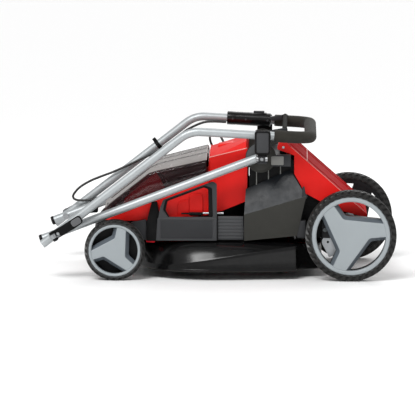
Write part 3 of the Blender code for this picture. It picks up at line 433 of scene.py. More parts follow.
def bm_outline(loops, y0, y1, bevel=0.0, res=2):
    """Flat outline with holes in XZ, thickened y0..y1, edges rounded."""
    curve = bpy.data.curves.new("outline", "CURVE")
    curve.dimensions = "2D"
    curve.fill_mode = "BOTH"
    curve.extrude = abs(y1 - y0) / 2
    for index, loop in enumerate(loops):
        loop = list(loop)
        if (turn_of(loop) > 0) != (index == 0):
            loop.reverse()
        spline = curve.splines.new("POLY")
        spline.points.add(len(loop) - 1)
        for point, (x, z) in zip(spline.points, loop):
            point.co = (x, z, 0.0, 1.0)
        spline.use_cyclic_u = True
    ob = bpy.data.objects.new("outline", curve)
    bpy.context.scene.collection.objects.link(ob)
    graph = bpy.context.evaluated_depsgraph_get()
    graph.update()
    mesh = bpy.data.meshes.new_from_object(ob.evaluated_get(graph))
    bpy.data.objects.remove(ob, do_unlink=True)
    bpy.data.curves.remove(curve)
    bm = bmesh.new()
    bm.from_mesh(mesh)
    bpy.data.meshes.remove(mesh)
    mid = (y0 + y1) / 2
    bmesh.ops.transform(bm, matrix=Matrix.Translation((0, mid, 0))
                        @ Matrix.Rotation(math.pi / 2, 4, "X"), verts=bm.verts)
    bmesh.ops.remove_doubles(bm, verts=bm.verts, dist=0.000003)
    bmesh.ops.dissolve_limit(bm, angle_limit=math.radians(0.5), verts=bm.verts,
                             edges=bm.edges)
    bmesh.ops.recalc_face_normals(bm, faces=bm.faces)
    if bevel > 0:
        rims = []
        for e in bm.edges:
            if len(e.link_faces) != 2:
                continue
            a, b = e.verts
            if abs(a.co.y - b.co.y) > 1e-6:
                continue
            if e.calc_face_angle(0.0) > math.radians(60):
                rims.append(e)
        bmesh.ops.bevel(bm, geom=rims, offset=bevel, segments=res,
                        profile=0.5, affect="EDGES", clamp_overlap=True)
    return bm


def arc(cx, cz, r, a0, a1, steps):
    return [(cx + r * math.cos(math.radians(a0 + (a1 - a0) * i / steps)),
             cz + r * math.sin(math.radians(a0 + (a1 - a0) * i / steps)))
            for i in range(steps + 1)]


def rounded(loop, radius, steps=5):
    """Round the corners of a closed outline."""
    pts = [Vector(p) for p in loop]
    radii = radius if isinstance(radius, (list, tuple)) else [radius] * len(pts)
    out = []
    for i, p in enumerate(pts):
        a, b = pts[i - 1], pts[(i + 1) % len(pts)]
        u, v = (a - p), (b - p)
        lu, lv = u.length, v.length
        u.normalize()
        v.normalize()
        ang = u.angle(v)
        r = radii[i]
        if r <= 0 or ang > math.radians(176):
            out.append(tuple(p))
            continue
        run = min(r / math.tan(ang / 2), 0.48 * lu, 0.48 * lv)
        r = run * math.tan(ang / 2)
        centre = p + (u + v).normalized() * (r / math.sin(ang / 2))
        s, e = p + u * run - centre, p + v * run - centre
        sweep = s.angle(e)
        for k in range(steps + 1):
            t = k / steps
            q = centre + (s * math.sin((1 - t) * sweep)
                          + e * math.sin(t * sweep)) / math.sin(sweep)
            out.append(tuple(q))
    return out


def bm_sweep(points, radius, segs=20, radii=None, caps=True):
    """Round bar along points, kept free of twist."""
    pts = [Vector(p) for p in points]
    bm = bmesh.new()
    tangents = []
    for i in range(len(pts)):
        a = pts[max(0, i - 1)]
        b = pts[min(len(pts) - 1, i + 1)]
        tangents.append((b - a).normalized())
    ref = Vector((0, 0, 1))
    if abs(tangents[0].dot(ref)) > 0.9:
        ref = Vector((0, 1, 0))
    normal = (ref - tangents[0] * ref.dot(tangents[0])).normalized()
    rings = []
    for i, (p, t) in enumerate(zip(pts, tangents)):
        if i:
            q = tangents[i - 1].rotation_difference(t)
            normal = q @ normal
            normal = (normal - t * normal.dot(t)).normalized()
        side = t.cross(normal)
        r = radii[i] if radii else radius
        rings.append([bm.verts.new(p + (normal * math.cos(math.tau * k / segs)
                                        + side * math.sin(math.tau * k / segs)) * r)
                      for k in range(segs)])
    for a, b in zip(rings, rings[1:]):
        for k in range(segs):
            j = (k + 1) % segs
            bm.faces.new((a[k], b[k], b[j], a[j]))
    if caps:
        bm.faces.new(list(reversed(rings[0])))
        bm.faces.new(rings[-1])
    bmesh.ops.recalc_face_normals(bm, faces=bm.faces)
    return bm


def bm_loft(sections, cap=True):
    bm = bmesh.new()
    rings = [[bm.verts.new(p) for p in ring] for ring in sections]
    for a, b in zip(rings, rings[1:]):
        for i in range(len(a)):
            j = (i + 1) % len(a)
            bm.faces.new((a[i], a[j], b[j], b[i]))
    if cap:
        bm.faces.new(list(reversed(rings[0])))
        bm.faces.new(rings[-1])
    bmesh.ops.recalc_face_normals(bm, faces=bm.faces)
    return bm


def bm_box(lo, hi, bevel=0.0, seg=3):
    bm = bmesh.new()
    bmesh.ops.create_cube(bm, size=1.0)
    bmesh.ops.scale(bm, vec=[h - l for l, h in zip(lo, hi)], verts=bm.verts)
    bmesh.ops.translate(bm, vec=[(h + l) / 2 for l, h in zip(lo, hi)],
                        verts=bm.verts)
    if bevel > 0:
        bmesh.ops.bevel(bm, geom=bm.edges[:] + bm.verts[:], offset=bevel,
                        segments=seg, profile=0.5, affect="EDGES")
    return bm


def rounded_path(points, radii, steps):
    pts = [Vector(p) for p in points]
    out = [pts[0]]
    for before, corner, after, radius, count in zip(pts, pts[1:], pts[2:],
                                                    radii, steps):
        u = (before - corner).normalized()
        v = (after - corner).normalized()
        half = u.angle(v) / 2
        run = radius / math.tan(half)
        centre = corner + (u + v).normalized() * (radius / math.sin(half))
        a, b = corner + u * run - centre, corner + v * run - centre
        sweep = a.angle(b)
        for i in range(count + 1):
            t = i / count
            out.append(centre + (a * math.sin((1 - t) * sweep)
                                 + b * math.sin(t * sweep)) / math.sin(sweep))
    out.append(pts[-1])
    return out


def smooth_route(points, spacing):
    pts = [Vector(p) for p in points]
    ext = [2 * pts[0] - pts[1]] + pts + [2 * pts[-1] - pts[-2]]
    fine = []
    for p0, p1, p2, p3 in zip(ext, ext[1:], ext[2:], ext[3:]):
        for i in range(16):
            t = i / 16
            fine.append(0.5 * (2 * p1 + (p2 - p0) * t
                               + (2 * p0 - 5 * p1 + 4 * p2 - p3) * t * t
                               + (3 * p1 - p0 - 3 * p2 + p3) * t ** 3))
    fine.append(pts[-1])
    length = [0.0]
    for a, b in zip(fine, fine[1:]):
        length.append(length[-1] + (b - a).length)
    count = max(2, round(length[-1] / spacing))
    out, k = [], 0
    for i in range(count + 1):
        want = length[-1] * i / count
        while k < len(fine) - 2 and length[k + 1] < want:
            k += 1
        span = length[k + 1] - length[k]
        t = 0.0 if span == 0 else (want - length[k]) / span
        out.append(fine[k].lerp(fine[k + 1], min(1.0, max(0.0, t))))
    return out


# ---------------------------------------------------------------------------
# Wheels
# ---------------------------------------------------------------------------
def cap_opening(cap_r, corner, sense, inset, fillet_k=0.13, arc_n=6, ring_n=14,
                ring_k=0.892):
    ring = ring_k * cap_r
    base = 0.892 * cap_r
    polar = ((base, corner - 5.0 * sense), (0.47 * cap_r, corner),
             (base, corner + 93.0 * sense))
    pts = [Vector((r * math.cos(math.radians(a)), r * math.sin(math.radians(a))))
           for r, a in polar]
    middle = (pts[0] + pts[2]) / 2
    lines = []
    for p, q in ((pts[0], pts[1]), (pts[2], pts[1])):
        along = (q - p).normalized()
        normal = Vector((-along.y, along.x))
        if normal.dot(middle - p) < 0:
            normal = -normal
        lines.append((p + normal * inset, along, normal))
    (p, u, n1), (q, v, n2) = lines
    fillet = fillet_k * cap_r
    c1, c2 = p + n1 * fillet, q + n2 * fillet
    det = u.x * -v.y + v.x * u.y
    t = ((c2.x - c1.x) * -v.y + v.x * (c2.y - c1.y)) / det
    centre = c1 + u * t
    ends = []
    for point, along, _ in lines:
        half = point.dot(along)
        ends.append(point + along * (-half - math.sqrt(
            half * half - point.dot(point) + ring * ring)))
    start = math.atan2(-n1.y, -n1.x)
    sweep = (math.atan2(-n2.y, -n2.x) - start + math.pi) % math.tau - math.pi
    loop = [ends[0]]
    loop += [centre + fillet * Vector((math.cos(start + sweep * i / arc_n),
                                       math.sin(start + sweep * i / arc_n)))
             for i in range(arc_n + 1)]
    loop.append(ends[1])
    a0 = math.atan2(ends[1].y, ends[1].x)
    back_ = (math.atan2(ends[0].y, ends[0].x) - a0 + math.pi) % math.tau - math.pi
    loop += [ring * Vector((math.cos(a0 + back_ * i / ring_n),
                            math.sin(a0 + back_ * i / ring_n)))
             for i in range(1, ring_n)]
    return [tuple(v) for v in loop]


def wheel(prefix, label, side, x, radius, cap_r, out, corner, sense, lugs):
    body = "%s_%s_wheel" % (prefix, label)
    base = "%s_%s" % (prefix, label)
    w_in, w_out = 0.1900, out - 0.0015
    inner = cap_r + 0.0003
    # tyre carcass
    base_r = radius - 0.0048
    wall = [(inner, w_in + 0.0006), (inner + 0.0035, w_in),
            (base_r - 0.0085, w_in), (base_r - 0.0040, w_in + 0.0010),
            (base_r - 0.0016, w_in + 0.0034), (base_r - 0.0004, w_in + 0.0080),
            (base_r, (w_in + w_out) / 2), (base_r - 0.0004, w_out - 0.0080),
            (base_r - 0.0016, w_out - 0.0034), (base_r - 0.0040, w_out - 0.0012),
            (base_r - 0.0058, w_out - 0.0006), (base_r - 0.0064, w_out - 0.0015),
            (base_r - 0.0074, w_out - 0.0015), (base_r - 0.0080, w_out - 0.0003),
            (inner + 0.0030, w_out), (inner + 0.0018, w_out - 0.0003),
            (inner, w_out - 0.0016)]
    wall = [(r, side * h) for r, h in wall]
    carcass = bm_lathe(wall, (x, 0.0, radius), 120)
    for f in carcass.faces:
        c = f.calc_center_median()
        r = math.hypot(c.x - x, c.z - radius)
        f.material_index = 1 if (r < inner + 0.0030 and abs(c.y) > 0.21) else 0
    lug = bmesh.new()
    mid = (w_in + w_out) / 2
    halfw = (w_out - w_in) / 2
    sweep = 0.40 * (0.1125 / radius) ** 0.8
    turn = math.tau / lugs
    for half in (-1.0, 1.0):
        for i in range(lugs):
            a0 = math.tau * (i + (0.5 if half > 0 else 0.0)) / lugs
            stations = []
            for u, rise, drop in ((0.05, 1.0, 0.0010), (0.22, 1.0, 0.0010),
                                  (0.40, 1.0, 0.0010), (0.58, 0.98, 0.0010),
                                  (0.74, 0.90, 0.0012), (0.88, 0.66, 0.0022),
                                  (0.965, 0.22, 0.0046), (0.990, -0.60, 0.0080),
                                  (1.004, -1.70, 0.0110)):
                h = mid + half * halfw * u
                ang = a0 + sweep * u ** 0.85
                width = turn * (0.27 - 0.04 * u)
                r1 = base_r + 0.0048 * rise
                r0 = base_r - drop
                ring = []
                for aa, rr in ((ang - width, r0), (ang - width * 0.72, r1),
                               (ang + width * 0.72, r1), (ang + width, r0)):
                    ring.append(lug.verts.new((x + rr * math.cos(aa), side * h,
                                               radius + rr * math.sin(aa))))
                stations.append(ring)
            for a, b in zip(stations, stations[1:]):
                for j in range(3):
                    lug.faces.new((a[j], a[j + 1], b[j + 1], b[j]))
            lug.faces.new(stations[0])
            lug.faces.new(list(reversed(stations[-1])))
    bmesh.ops.recalc_face_normals(lug, faces=lug.faces)
    out_bm = bmesh.new()
    for f in lug.faces:
        # Lugs take the lighter rubber: painted highlight.
        f.material_index = 2
    for src in (carcass, lug):
        tmp = bpy.data.meshes.new("tmp")
        src.to_mesh(tmp)
        src.free()
        out_bm.from_mesh(tmp)
        bpy.data.meshes.remove(tmp)
    put(base + "_tyre_tread", to_mesh(base + "_tyre_tread", out_bm, False),
        [TYRE, TYRE_EDGE, TYRE_LUG_PAINTED_HIGHLIGHT], body, [base + "_tyre"], 40.0)
    # black core with windows
    deep = [[(x + px, radius + pz) for px, pz in
             cap_opening(cap_r, corner + 120 * k, sense, 0.0088)]
            for k in range(3)]
    circle = [(x + 0.896 * cap_r * math.cos(math.tau * i / 96),
               radius + 0.896 * cap_r * math.sin(math.tau * i / 96))
              for i in range(96)]
    if prefix == "front":
        deep = []
    core = bm_outline([circle] + deep, *sorted((side * (w_in + 0.0020), side * (
        out - 0.0150 if prefix == "rear" else w_in + 0.0050))))
    barrel = [(0.889 * cap_r, w_in + 0.0006), (0.889 * cap_r, out - 0.0110),
              (cap_r - 0.0006, out - 0.0110), (cap_r - 0.0006, w_in + 0.0006)]
    barrel = bm_lathe([(r, side * h) for r, h in barrel], (x, 0.0, radius), 96)
    hub = [(0.0082, w_in + 0.0006), (0.0082, 0.2218), (0.0225, 0.2218),
           (0.0250, 0.2180), (0.0250, w_in + 0.0026), (0.0235, w_in + 0.0006)]
    hub = bm_lathe([(r, side * h) for r, h in hub], (x, 0.0, radius), 48)
    ribs = bmesh.new()
    for k in range(3):
        for d in (-9.0, 9.0):
            a = math.radians(corner + (104.0 * sense) + 120 * k + d)
            r0, r1 = 0.024, 0.885 * cap_r
            t = 0.0012
            nx, nz = -math.sin(a) * t, math.cos(a) * t
            lo, hi = w_in - 0.0 + 0.0006, w_in + 0.0060
            vs = []
            for h in (lo, hi):
                for rr, sgn in ((r0, -1), (r0, 1), (r1, 1), (r1, -1)):
                    vs.append(ribs.verts.new((x + rr * math.cos(a) + sgn * nx,
                                              side * h,
                                              radius + rr * math.sin(a) + sgn * nz)))
            for q in ((0, 1, 2, 3), (7, 6, 5, 4), (0, 4, 5, 1), (1, 5, 6, 2),
                      (2, 6, 7, 3), (3, 7, 4, 0)):
                ribs.faces.new([vs[j] for j in q])
    bmesh.ops.recalc_face_normals(ribs, faces=ribs.faces)
    mesh = join_meshes(base + "_core", [(core, 0), (barrel, 0), (hub, 0),
                                        (ribs, 0)])
    put(base + "_core", mesh, RIM_BLACK, body, [base + "_rim"], 35)
    # hub cap: raised ring, three swept spokes with drafted sides, whose deepest band is darker as painted
    # shade
    r0, r1 = 0.884 * cap_r, cap_r
    ring = [(r0, out - 0.0110), (r0, out - 0.0028), (r0 + 0.0008, out - 0.0012),
            (r0 + 0.0022, out - 0.0002), (r0 + 0.0036, out),
            (r1 - 0.0034, out), (r1 - 0.0018, out - 0.0004),
            (r1 - 0.0006, out - 0.0016), (r1, out - 0.0032), (r1, out - 0.0110)]
    ring = bm_lathe([(r, side * h) for r, h in ring], (x, 0.0, radius), 120)
    levels = ((-0.0010, out - 0.0011), (-0.0003, out - 0.0014),
              (0.0003, out - 0.0022), (0.0088, out - 0.0150))
    face_r = 0.889 * cap_r
    circle = [(x + face_r * math.cos(math.tau * i / 96),
               radius + face_r * math.sin(math.tau * i / 96)) for i in range(96)]
    loops = []
    star = bmesh.new()
    for k in range(3):
        rows = []
        for inset, h in levels:
            loop = cap_opening(cap_r, corner + 120 * k, sense, inset,
                               ring_k=0.886)
            rows.append([star.verts.new((x + px, side * h, radius + pz))
                         for px, pz in loop])
            if inset == levels[0][0]:
                loops.append([(x + px, radius + pz) for px, pz in loop])
        edge_count = 6 + 3
        for li, (a, b) in enumerate(zip(rows, rows[1:])):
            for j in range(edge_count - 1):
                f = star.faces.new((a[j], a[j + 1], b[j + 1], b[j]))
                # The deepest band of the drafted walls takes the darker grey: painted shade.
                f.material_index = 1 if li == 2 else 0
    # a thin flat face plate
    curve_bm = bm_outline([circle] + loops, side * (levels[0][1] - 0.0006),
                          side * levels[0][1])
    for f in star.faces:
        pass
    tmp_mesh = bpy.data.meshes.new("tmp")
    bmesh.ops.recalc_face_normals(star, faces=star.faces)
    star.to_mesh(tmp_mesh)
    star.free()
    whole = bmesh.new()
    whole.from_mesh(tmp_mesh)
    bpy.data.meshes.remove(tmp_mesh)
    for src in (curve_bm, ring):
        for f in src.faces:
            f.material_index = 0
        tmp_mesh = bpy.data.meshes.new("tmp")
        src.to_mesh(tmp_mesh)
        src.free()
        whole.from_mesh(tmp_mesh)
        bpy.data.meshes.remove(tmp_mesh)
    put(base + "_cap_spokes", to_mesh(base + "_cap_spokes", whole, False),
        [CAP, CAP_PAINTED_SHADE], body, [base + "_hub_cap"], 30.0)


REAR_X, REAR_R, REAR_CAP = 0.3305, 0.1125, 0.0966
FRONT_X, FRONT_R, FRONT_CAP = -0.2525, 0.0750, 0.0647
for label, side in SIDES:
    wheel("rear", label, side, REAR_X, REAR_R, REAR_CAP, 0.2350,
          114.5 if side < 0 else 80.0, side, 40)
    wheel("front", label, side, FRONT_X, FRONT_R, FRONT_CAP, 0.2320,
          88.0 if side < 0 else 92.0, -side, 30)

for node in ("front_axle", "rear_axle"):
    skin(node, ZINC, 0.0004)
for label, side in SIDES:
    skin("crank_" + label, ZINC, 0.0007)
    washer = bm_lathe([(0.0000, 0.1833), (0.0098, 0.1833), (0.0102, 0.1837),
                       (0.0098, 0.1842), (0.0000, 0.1842)],
                      (0.2740, 0.0, 0.0925), 28)
    if side < 0:
        bmesh.ops.scale(washer, vec=(1, -1, 1), verts=washer.verts)
        bmesh.ops.recalc_face_normals(washer, faces=washer.faces)
    guide = rounded([(0.2592, 0.1027), (0.2592, 0.1425), (0.2850, 0.1425),
                     (0.2895, 0.1330), (0.2895, 0.1027)], 0.0020)
    bolt = bm_sweep([(0.2667, side * h, 0.1226) for h in
                     (0.1850, 0.1862, 0.1874, 0.1882, 0.1885)], 0.005, 20,
                    [0.0050, 0.0050, 0.0046, 0.0030, 0.0008])
    put("crank_guide_" + label, join_meshes("crank_guide_" + label, [
        (washer, 1), (bm_outline([guide], *sorted((side * 0.1846, side * 0.1860)),
                                 bevel=0.0004), 0), (bolt, 2)]),
        [PANEL_DARK, ZINC, CAP], "deck", ())
    skin("axle_bracket_" + label, BLACK, 0.0015)

# ---------------------------------------------------------------------------
# Deck pan
# ---------------------------------------------------------------------------
def front_curve(a, b, power, count):
    out = []
    for i in range(count + 1):
        t = math.pi / 2 * i / count
        c = max(0.0, math.cos(t))
        out.append((-a * c ** (2 / power), -b * math.sin(t) ** (2 / power)))
    return out


RIM_TAIL = [(0.0700, -0.2225), (0.1960, -0.2035), (0.2000, -0.1660),
            (0.2126, -0.1586), (0.2474, -0.1483), (0.2600, -0.1300),
            (0.2600, 0.0)]
CROWN_TAIL = [(0.0600, -0.1360), (0.1100, -0.1330), (0.1300, -0.1300),
              (0.1500, -0.1230), (0.1700, -0.1130), (0.1800, -0.0950),
              (0.1800, 0.0)]
RIM = front_curve(0.2170, 0.2306, 2.3, 36) + RIM_TAIL
CROWN = front_curve(0.1350, 0.1380, 2.0, 36) + CROWN_TAIL


def ridge_z(x):
    """Height of the crease along the pan's side wall."""
    return min(0.0840, max(0.0360, 0.0430 + 0.154 * (x + 0.0800)))


def deck_ring(blend, low, high, k):
    """Ring whose height runs from low to high; None is the crease."""
    half = [(a[0] + (b[0] - a[0]) * blend, a[1] + (b[1] - a[1]) * blend)
            for a, b in zip(RIM, CROWN)]
    ring = half + [(x, -y) for x, y in reversed(half[1:-1])]
    out = []
    for x, y in ring:
        a = ridge_z(x) if low is None else low
        b = ridge_z(x) if high is None else high
        out.append((x, y, a + (b - a) * k))
    return out


rows = [(0.012, 0.0225, 0.0225, 0), (0.004, 0.0215, 0.0215, 0),
        (-0.004, 0.0222, 0.0222, 0), (-0.004, 0.0262, 0.0262, 0),
        (0.004, 0.0275, 0.0275, 0), (0.011, 0.0300, None, 0.03),
        (0.018, 0.0300, None, 0.40), (0.023, 0.0300, None, 0.80),
        (0.027, 0.0300, None, 0.97), (0.034, None, 0.0893, 0.02),
        (0.060, None, 0.0893, 0.11), (0.120, None, 0.0893, 0.36),
        (0.200, None, 0.0893, 0.64), (0.300, None, 0.0893, 0.88),
        (0.380, None, 0.0893, 0.98), (0.450, 0.0902, 0.0902, 0),
        (0.860, 0.0915, 0.0915, 0), (0.905, 0.0930, 0.0930, 0),
        (0.940, 0.1000, 0.1000, 0), (0.970, 0.1070, 0.1070, 0),
        (1.000, 0.1092, 0.1092, 0)]
deck_bm = bm_loft([deck_ring(*r) for r in rows], cap=False)
top = [v for v in deck_bm.verts if v.co.z > 0.10915]
hole = 0.012
ring_out = sorted(top, key=lambda v: math.atan2(v.co.y, v.co.x - 0.0225))
inner_ring = [deck_bm.verts.new((0.0225 + hole * math.cos(math.atan2(v.co.y, v.co.x - 0.0225)),
                                 hole * math.sin(math.atan2(v.co.y, v.co.x - 0.0225)),
                                 0.1093)) for v in ring_out]
for i in range(len(ring_out)):
    j = (i + 1) % len(ring_out)
    try:
        deck_bm.faces.new((ring_out[i], ring_out[j], inner_ring[j], inner_ring[i]))
    except ValueError:
        pass
bmesh.ops.recalc_face_normals(deck_bm, faces=deck_bm.faces)
kill = [f for f in deck_bm.faces
        if 0.100 < f.calc_center_median().x < 0.198
        and abs(f.calc_center_median().y) < 0.078
        and f.calc_center_median().z > 0.088]
bmesh.ops.delete(deck_bm, geom=kill, context="FACES")
mesh = to_mesh("deck_pan", deck_bm)
deck = put("deck_pan", mesh, BLACK_GLOSS, "deck", ["deck_shell"],
           38.0)
solid = deck.modifiers.new("wall", "SOLIDIFY")
solid.thickness = 0.0022
solid.offset = -1.0

skin("front_fascia", BLACK, 0.0025, 3)
bms = []
for side in (-1.0, 1.0):
    lo, hi = sorted((side * 0.1480, side * 0.1630))
    tab = rounded([(-0.1770, 0.0880), (-0.1785, 0.1050), (-0.1545, 0.1000),
                   (-0.1560, 0.0865)], 0.002)
    bms.append((bm_outline([tab], lo, hi, bevel=0.0010), 0))
put("hood_foot_tabs", join_meshes("hood_foot_tabs", bms), RED_DEEP, "deck", ())
skin("discharge_tunnel", BLACK, 0.0010)

# ---------------------------------------------------------------------------
# Hood, cover, batteries
# ---------------------------------------------------------------------------
src = NODES["hood"]
bm = bmesh.new()
bm.from_mesh(src.data)
bm.transform(src.matrix_world)
bmesh.ops.remove_doubles(bm, verts=bm.verts, dist=0.000004)
bmesh.ops.dissolve_limit(bm, angle_limit=math.radians(1.2), verts=bm.verts,
                         edges=bm.edges)
tops = [f for f in bm.faces if f.normal.z > 0.7
        and f.calc_center_median().x > -0.0200
        and f.calc_center_median().z > 0.290]
bmesh.ops.inset_region(bm, faces=tops, thickness=0.0055, depth=-0.0120,
                       use_even_offset=True, use_boundary=True)
put("hood_body", to_mesh("hood_body", bm), RED, "deck", ["hood"],
    30.0, 0.0014, 3, 20.0)
bms = []
sections = []
for x, top_z in ((-0.0020, 0.3198), (0.0450, 0.3274)):
    sections.append([(x, -0.030, 0.2950), (x, -0.030, top_z - 0.0010),
                     (x, 0.0, top_z), (x, 0.030, top_z - 0.0010),
                     (x, 0.030, 0.2950)])
block = bm_loft(sections)
bmesh.ops.bevel(block, geom=block.edges[:], offset=0.0022, segments=3,
                profile=0.5, affect="EDGES", clamp_overlap=True)
bms.append((block, 0))
for side in (-1.0, 1.0):
    # Thin pale bead along the side ledge: painted highlight line.
    bms.append((bm_sweep([(-0.0208, side * 0.1502, 0.2990),
                          (0.0730, side * 0.1502, 0.3222)], 0.0011, 10), 2))
    lo, hi = sorted((side * 0.1495, side * 0.1545))
    boss = rounded([(-0.0703, 0.1570), (-0.0703, 0.2090), (-0.0360, 0.2090),
                    (-0.0360, 0.1570)], [0.0, 0.009, 0.011, 0.0], 6)
    bms.append((bm_outline([boss], lo, hi, bevel=0.0022, res=3), 0))
    foot = rounded([(-0.1010, 0.1500), (-0.0980, 0.1900), (-0.0712, 0.1950),
                    (-0.0712, 0.1500)], [0.0, 0.012, 0.002, 0.0], 6)
    lo, hi = sorted((side * 0.1495, side * 0.1525))
    bms.append((bm_outline([foot], lo, hi, bevel=0.0014), 0))
    stop = bm_box(*[tuple(v) for v in zip(*[sorted(q) for q in (
        (-0.0680, -0.0400), (side * 0.1560, side * 0.1650),
        (0.1545, 0.1590))])], 0.0008, 2)
    bms.append((stop, 1))
put("hood_details", join_meshes("hood_details", bms), [RED, BLACK, RED_PAINTED_HIGHLIGHT],
    "deck",
    (), 35.0)


def parting(x):
    return 0.1564 + 0.384 * (x + 0.2683)


LID = ((-0.2845, 0.1180, 0.1665, 0.1795), (-0.2680, 0.1370, 0.1830, 0.1925),
       (-0.1715, 0.1400, 0.2585, 0.2690), (-0.1500, 0.1400, 0.2650, 0.2828),
       (-0.0275, 0.1400, 0.2920, 0.3138))


def lid_at(x):
    rows_ = LID
    for a, b in zip(rows_, rows_[1:]):
        if x <= b[0] or b is rows_[-1]:
            t = (x - a[0]) / (b[0] - a[0])
            return tuple(p + (q - p) * t for p, q in zip(a, b))
    return rows_[-1]


def lid_row(x, grow=0.0):
    _, hw, edge, crown = lid_at(x)
    pts = []
    zb = parting(x)
    pts.append((x, -hw, zb + 0.0003))
    pts.append((x, -hw, edge - 0.0085))
    for a in (20, 45, 70):
        pts.append((x, -hw + 0.0085 * (1 - math.cos(math.radians(a))) * 1.0,
                    edge - 0.0085 + 0.0085 * math.sin(math.radians(a))))
    for k in range(1, 24):
        t = -1 + 2 * k / 24
        y = t * (hw - 0.0075)
        pts.append((x, y, edge + (crown - edge) * (1 - abs(t) ** 2.1)
                    - 0.0012 * (abs(abs(t) - 0.62) < 0.045)))
    for a in (70, 45, 20):
        pts.append((x, hw - 0.0085 * (1 - math.cos(math.radians(a))),
                    edge - 0.0085 + 0.0085 * math.sin(math.radians(a))))
    pts.append((x, hw, edge - 0.0085))
    pts.append((x, hw, zb + 0.0003))
    return pts


xs = [-0.2845, -0.2835, -0.2800, -0.2740, -0.2680, -0.2600, -0.2400, -0.2200,
      -0.2000, -0.1820, -0.1750, -0.1700, -0.1640, -0.1560, -0.1500, -0.1400,
      -0.1200, -0.1000, -0.0800, -0.0600, -0.0400, -0.0290, -0.0275]
bm = bmesh.new()
rows_v = []
for i, xx in enumerate(xs):
    pts = lid_row(xx)
    if i == 0:
        pts = [(p[0] + 0.0006, p[1] * 0.985, p[2] - (0.003 if p[2] > parting(xx) + 0.01 else 0)) for p in pts]
    rows_v.append([bm.verts.new(p) for p in pts])
for a, b in zip(rows_v, rows_v[1:]):
    for i in range(len(a) - 1):
        face = bm.faces.new((a[i], a[i + 1], b[i + 1], b[i]))
        # Top faces take the painted-reflection copy of the smoked cover.
        face.material_index = 1 if 4 <= i <= 27 else 0
f = bm.faces.new(list(reversed(rows_v[0])))
bmesh.ops.recalc_face_normals(bm, faces=bm.faces)
lid = put("lid_cover", to_mesh("lid_cover", bm), [SMOKE, SMOKE_PAINTED_REFLECTION],
          "battery_cover",
          ["lid"], 30.0)
solid = lid.modifiers.new("wall", "SOLIDIFY")
solid.thickness = 0.0022
solid.offset = -1.0
# moulded ridges along the cover and a dark rim at its foot
for tag, ky, lift in (("a", 0.62, 0.0006), ("b", 0.30, 0.0006)):
    for label, side in SIDES:
        pts = []
        for xx in xs[4:-1]:
            _, hw, edge, crown = lid_at(xx)
            y = side * ky * (hw - 0.0075)
            pts.append((xx, y, edge + (crown - edge) * (1 - ky ** 2.1) + lift))
        put("lid_ridge_%s_%s" % (tag, label),
            to_mesh("lid_ridge", bm_sweep(pts, 0.0009, 8)), SMOKE_EDGE,
            "battery_cover", ())
for label, side in SIDES:
    pts = []
    for xx in xs[4:-1]:
        _, hw, edge, crown = lid_at(xx)
        pts.append((xx, side * (hw - 0.0010), parting(xx) + 0.0022))
    put("lid_rim_" + label, to_mesh("lid_rim", bm_sweep(pts, 0.0018, 8)),
        SMOKE_EDGE, "battery_cover", ())

for label, side in SIDES:
    skin("battery_" + label, BATTERY, 0.0012)
bms = []
for side in (-1.0, 1.0):
    lo, hi = sorted((side * 0.1290, side * 0.1335))
    bay = rounded([(-0.2360, parting(-0.2360)), (-0.2320, 0.1935),
                   (-0.1925, 0.2280), (-0.1545, 0.2580), (-0.1380, 0.2390),
                   (-0.1310, 0.2180), (-0.1300, parting(-0.1300))],
                  [0.0, 0.004, 0.0, 0.003, 0.004, 0.004, 0.0])
    bms.append((bm_outline([bay], lo, hi, bevel=0.0012), 0))
    lo, hi = sorted((side * 0.1300, side * 0.1350))
    post = rounded([(-0.1520, 0.2600), (-0.1375, 0.2630), (-0.1110, 0.2300),
                    (-0.1110, parting(-0.1110)), (-0.1300, parting(-0.1300)),
                    (-0.1305, 0.2200)], 0.002)
    bms.append((bm_outline([post], lo, hi, bevel=0.0010), 1))
    lo, hi = sorted((side * 0.1345, side * 0.1360))
    line = [(-0.1450, 0.2590), (-0.1415, 0.2598), (-0.1185, 0.2280),
            (-0.1210, 0.2262)]
    bms.append((bm_outline([line], lo, hi, bevel=0.0003), 2))
    lo, hi = sorted((side * 0.1240, side * 0.1280))
    wall = rounded([(-0.1290, parting(-0.1290)), (-0.1290, 0.2500),
                    (-0.0940, 0.2655), (-0.0300, 0.2840),
                    (-0.0300, parting(-0.0300))], 0.003)
    bms.append((bm_outline([wall], lo, hi, bevel=0.0012), 1))
    lo, hi = sorted((side * 0.1280, side * 0.1300))
    for a, b in (((-0.1080, 0.2335), (-0.0330, 0.2590)),
                 ((-0.0900, 0.2480), (-0.0330, 0.2680))):
        bms.append((bm_sweep([(a[0], side * 0.1295, a[1]),
                              (b[0], side * 0.1295, b[1])], 0.0022, 8), 2))
nose = bm_box((-0.2775, -0.1150, 0.1545), (-0.2390, 0.1150, 0.1800), 0.004, 3)
bms.append((nose, 1))
put("battery_bay", join_meshes("battery_bay", bms),
    [RED_DEEP, BLACK_GLOSS, PANEL_DARK], "deck", (), 35.0)

# ---------------------------------------------------------------------------
# Side panels, scale and height lever
# ---------------------------------------------------------------------------
for label, side in SIDES:
    def span(a, b, s=side):
        return sorted((s * a, s * b))
    grey = rounded([(-0.2145, 0.0935), (-0.2145, 0.1380), (-0.1765, 0.1455),
                    (-0.1765, 0.0935)], 0.003)
    strip = rounded([(-0.1770, 0.0920), (-0.1750, 0.1440), (-0.1630, 0.1900),
                     (-0.1500, 0.1900), (-0.1420, 0.1500), (0.0560, 0.1490),
                     (0.0560, 0.0945), (-0.1500, 0.0920)], 0.002)
    m = join_meshes("side_panel_" + label, [
        (bm_outline([grey], *span(0.1560, 0.1650), bevel=0.0012), 1),
        (bm_outline([strip], *span(0.1560, 0.1718), bevel=0.0012), 0)])
    put("side_panel_cover_" + label, m, [BLACK, PANEL_DARK], "deck",
        ["side_panel_" + label])

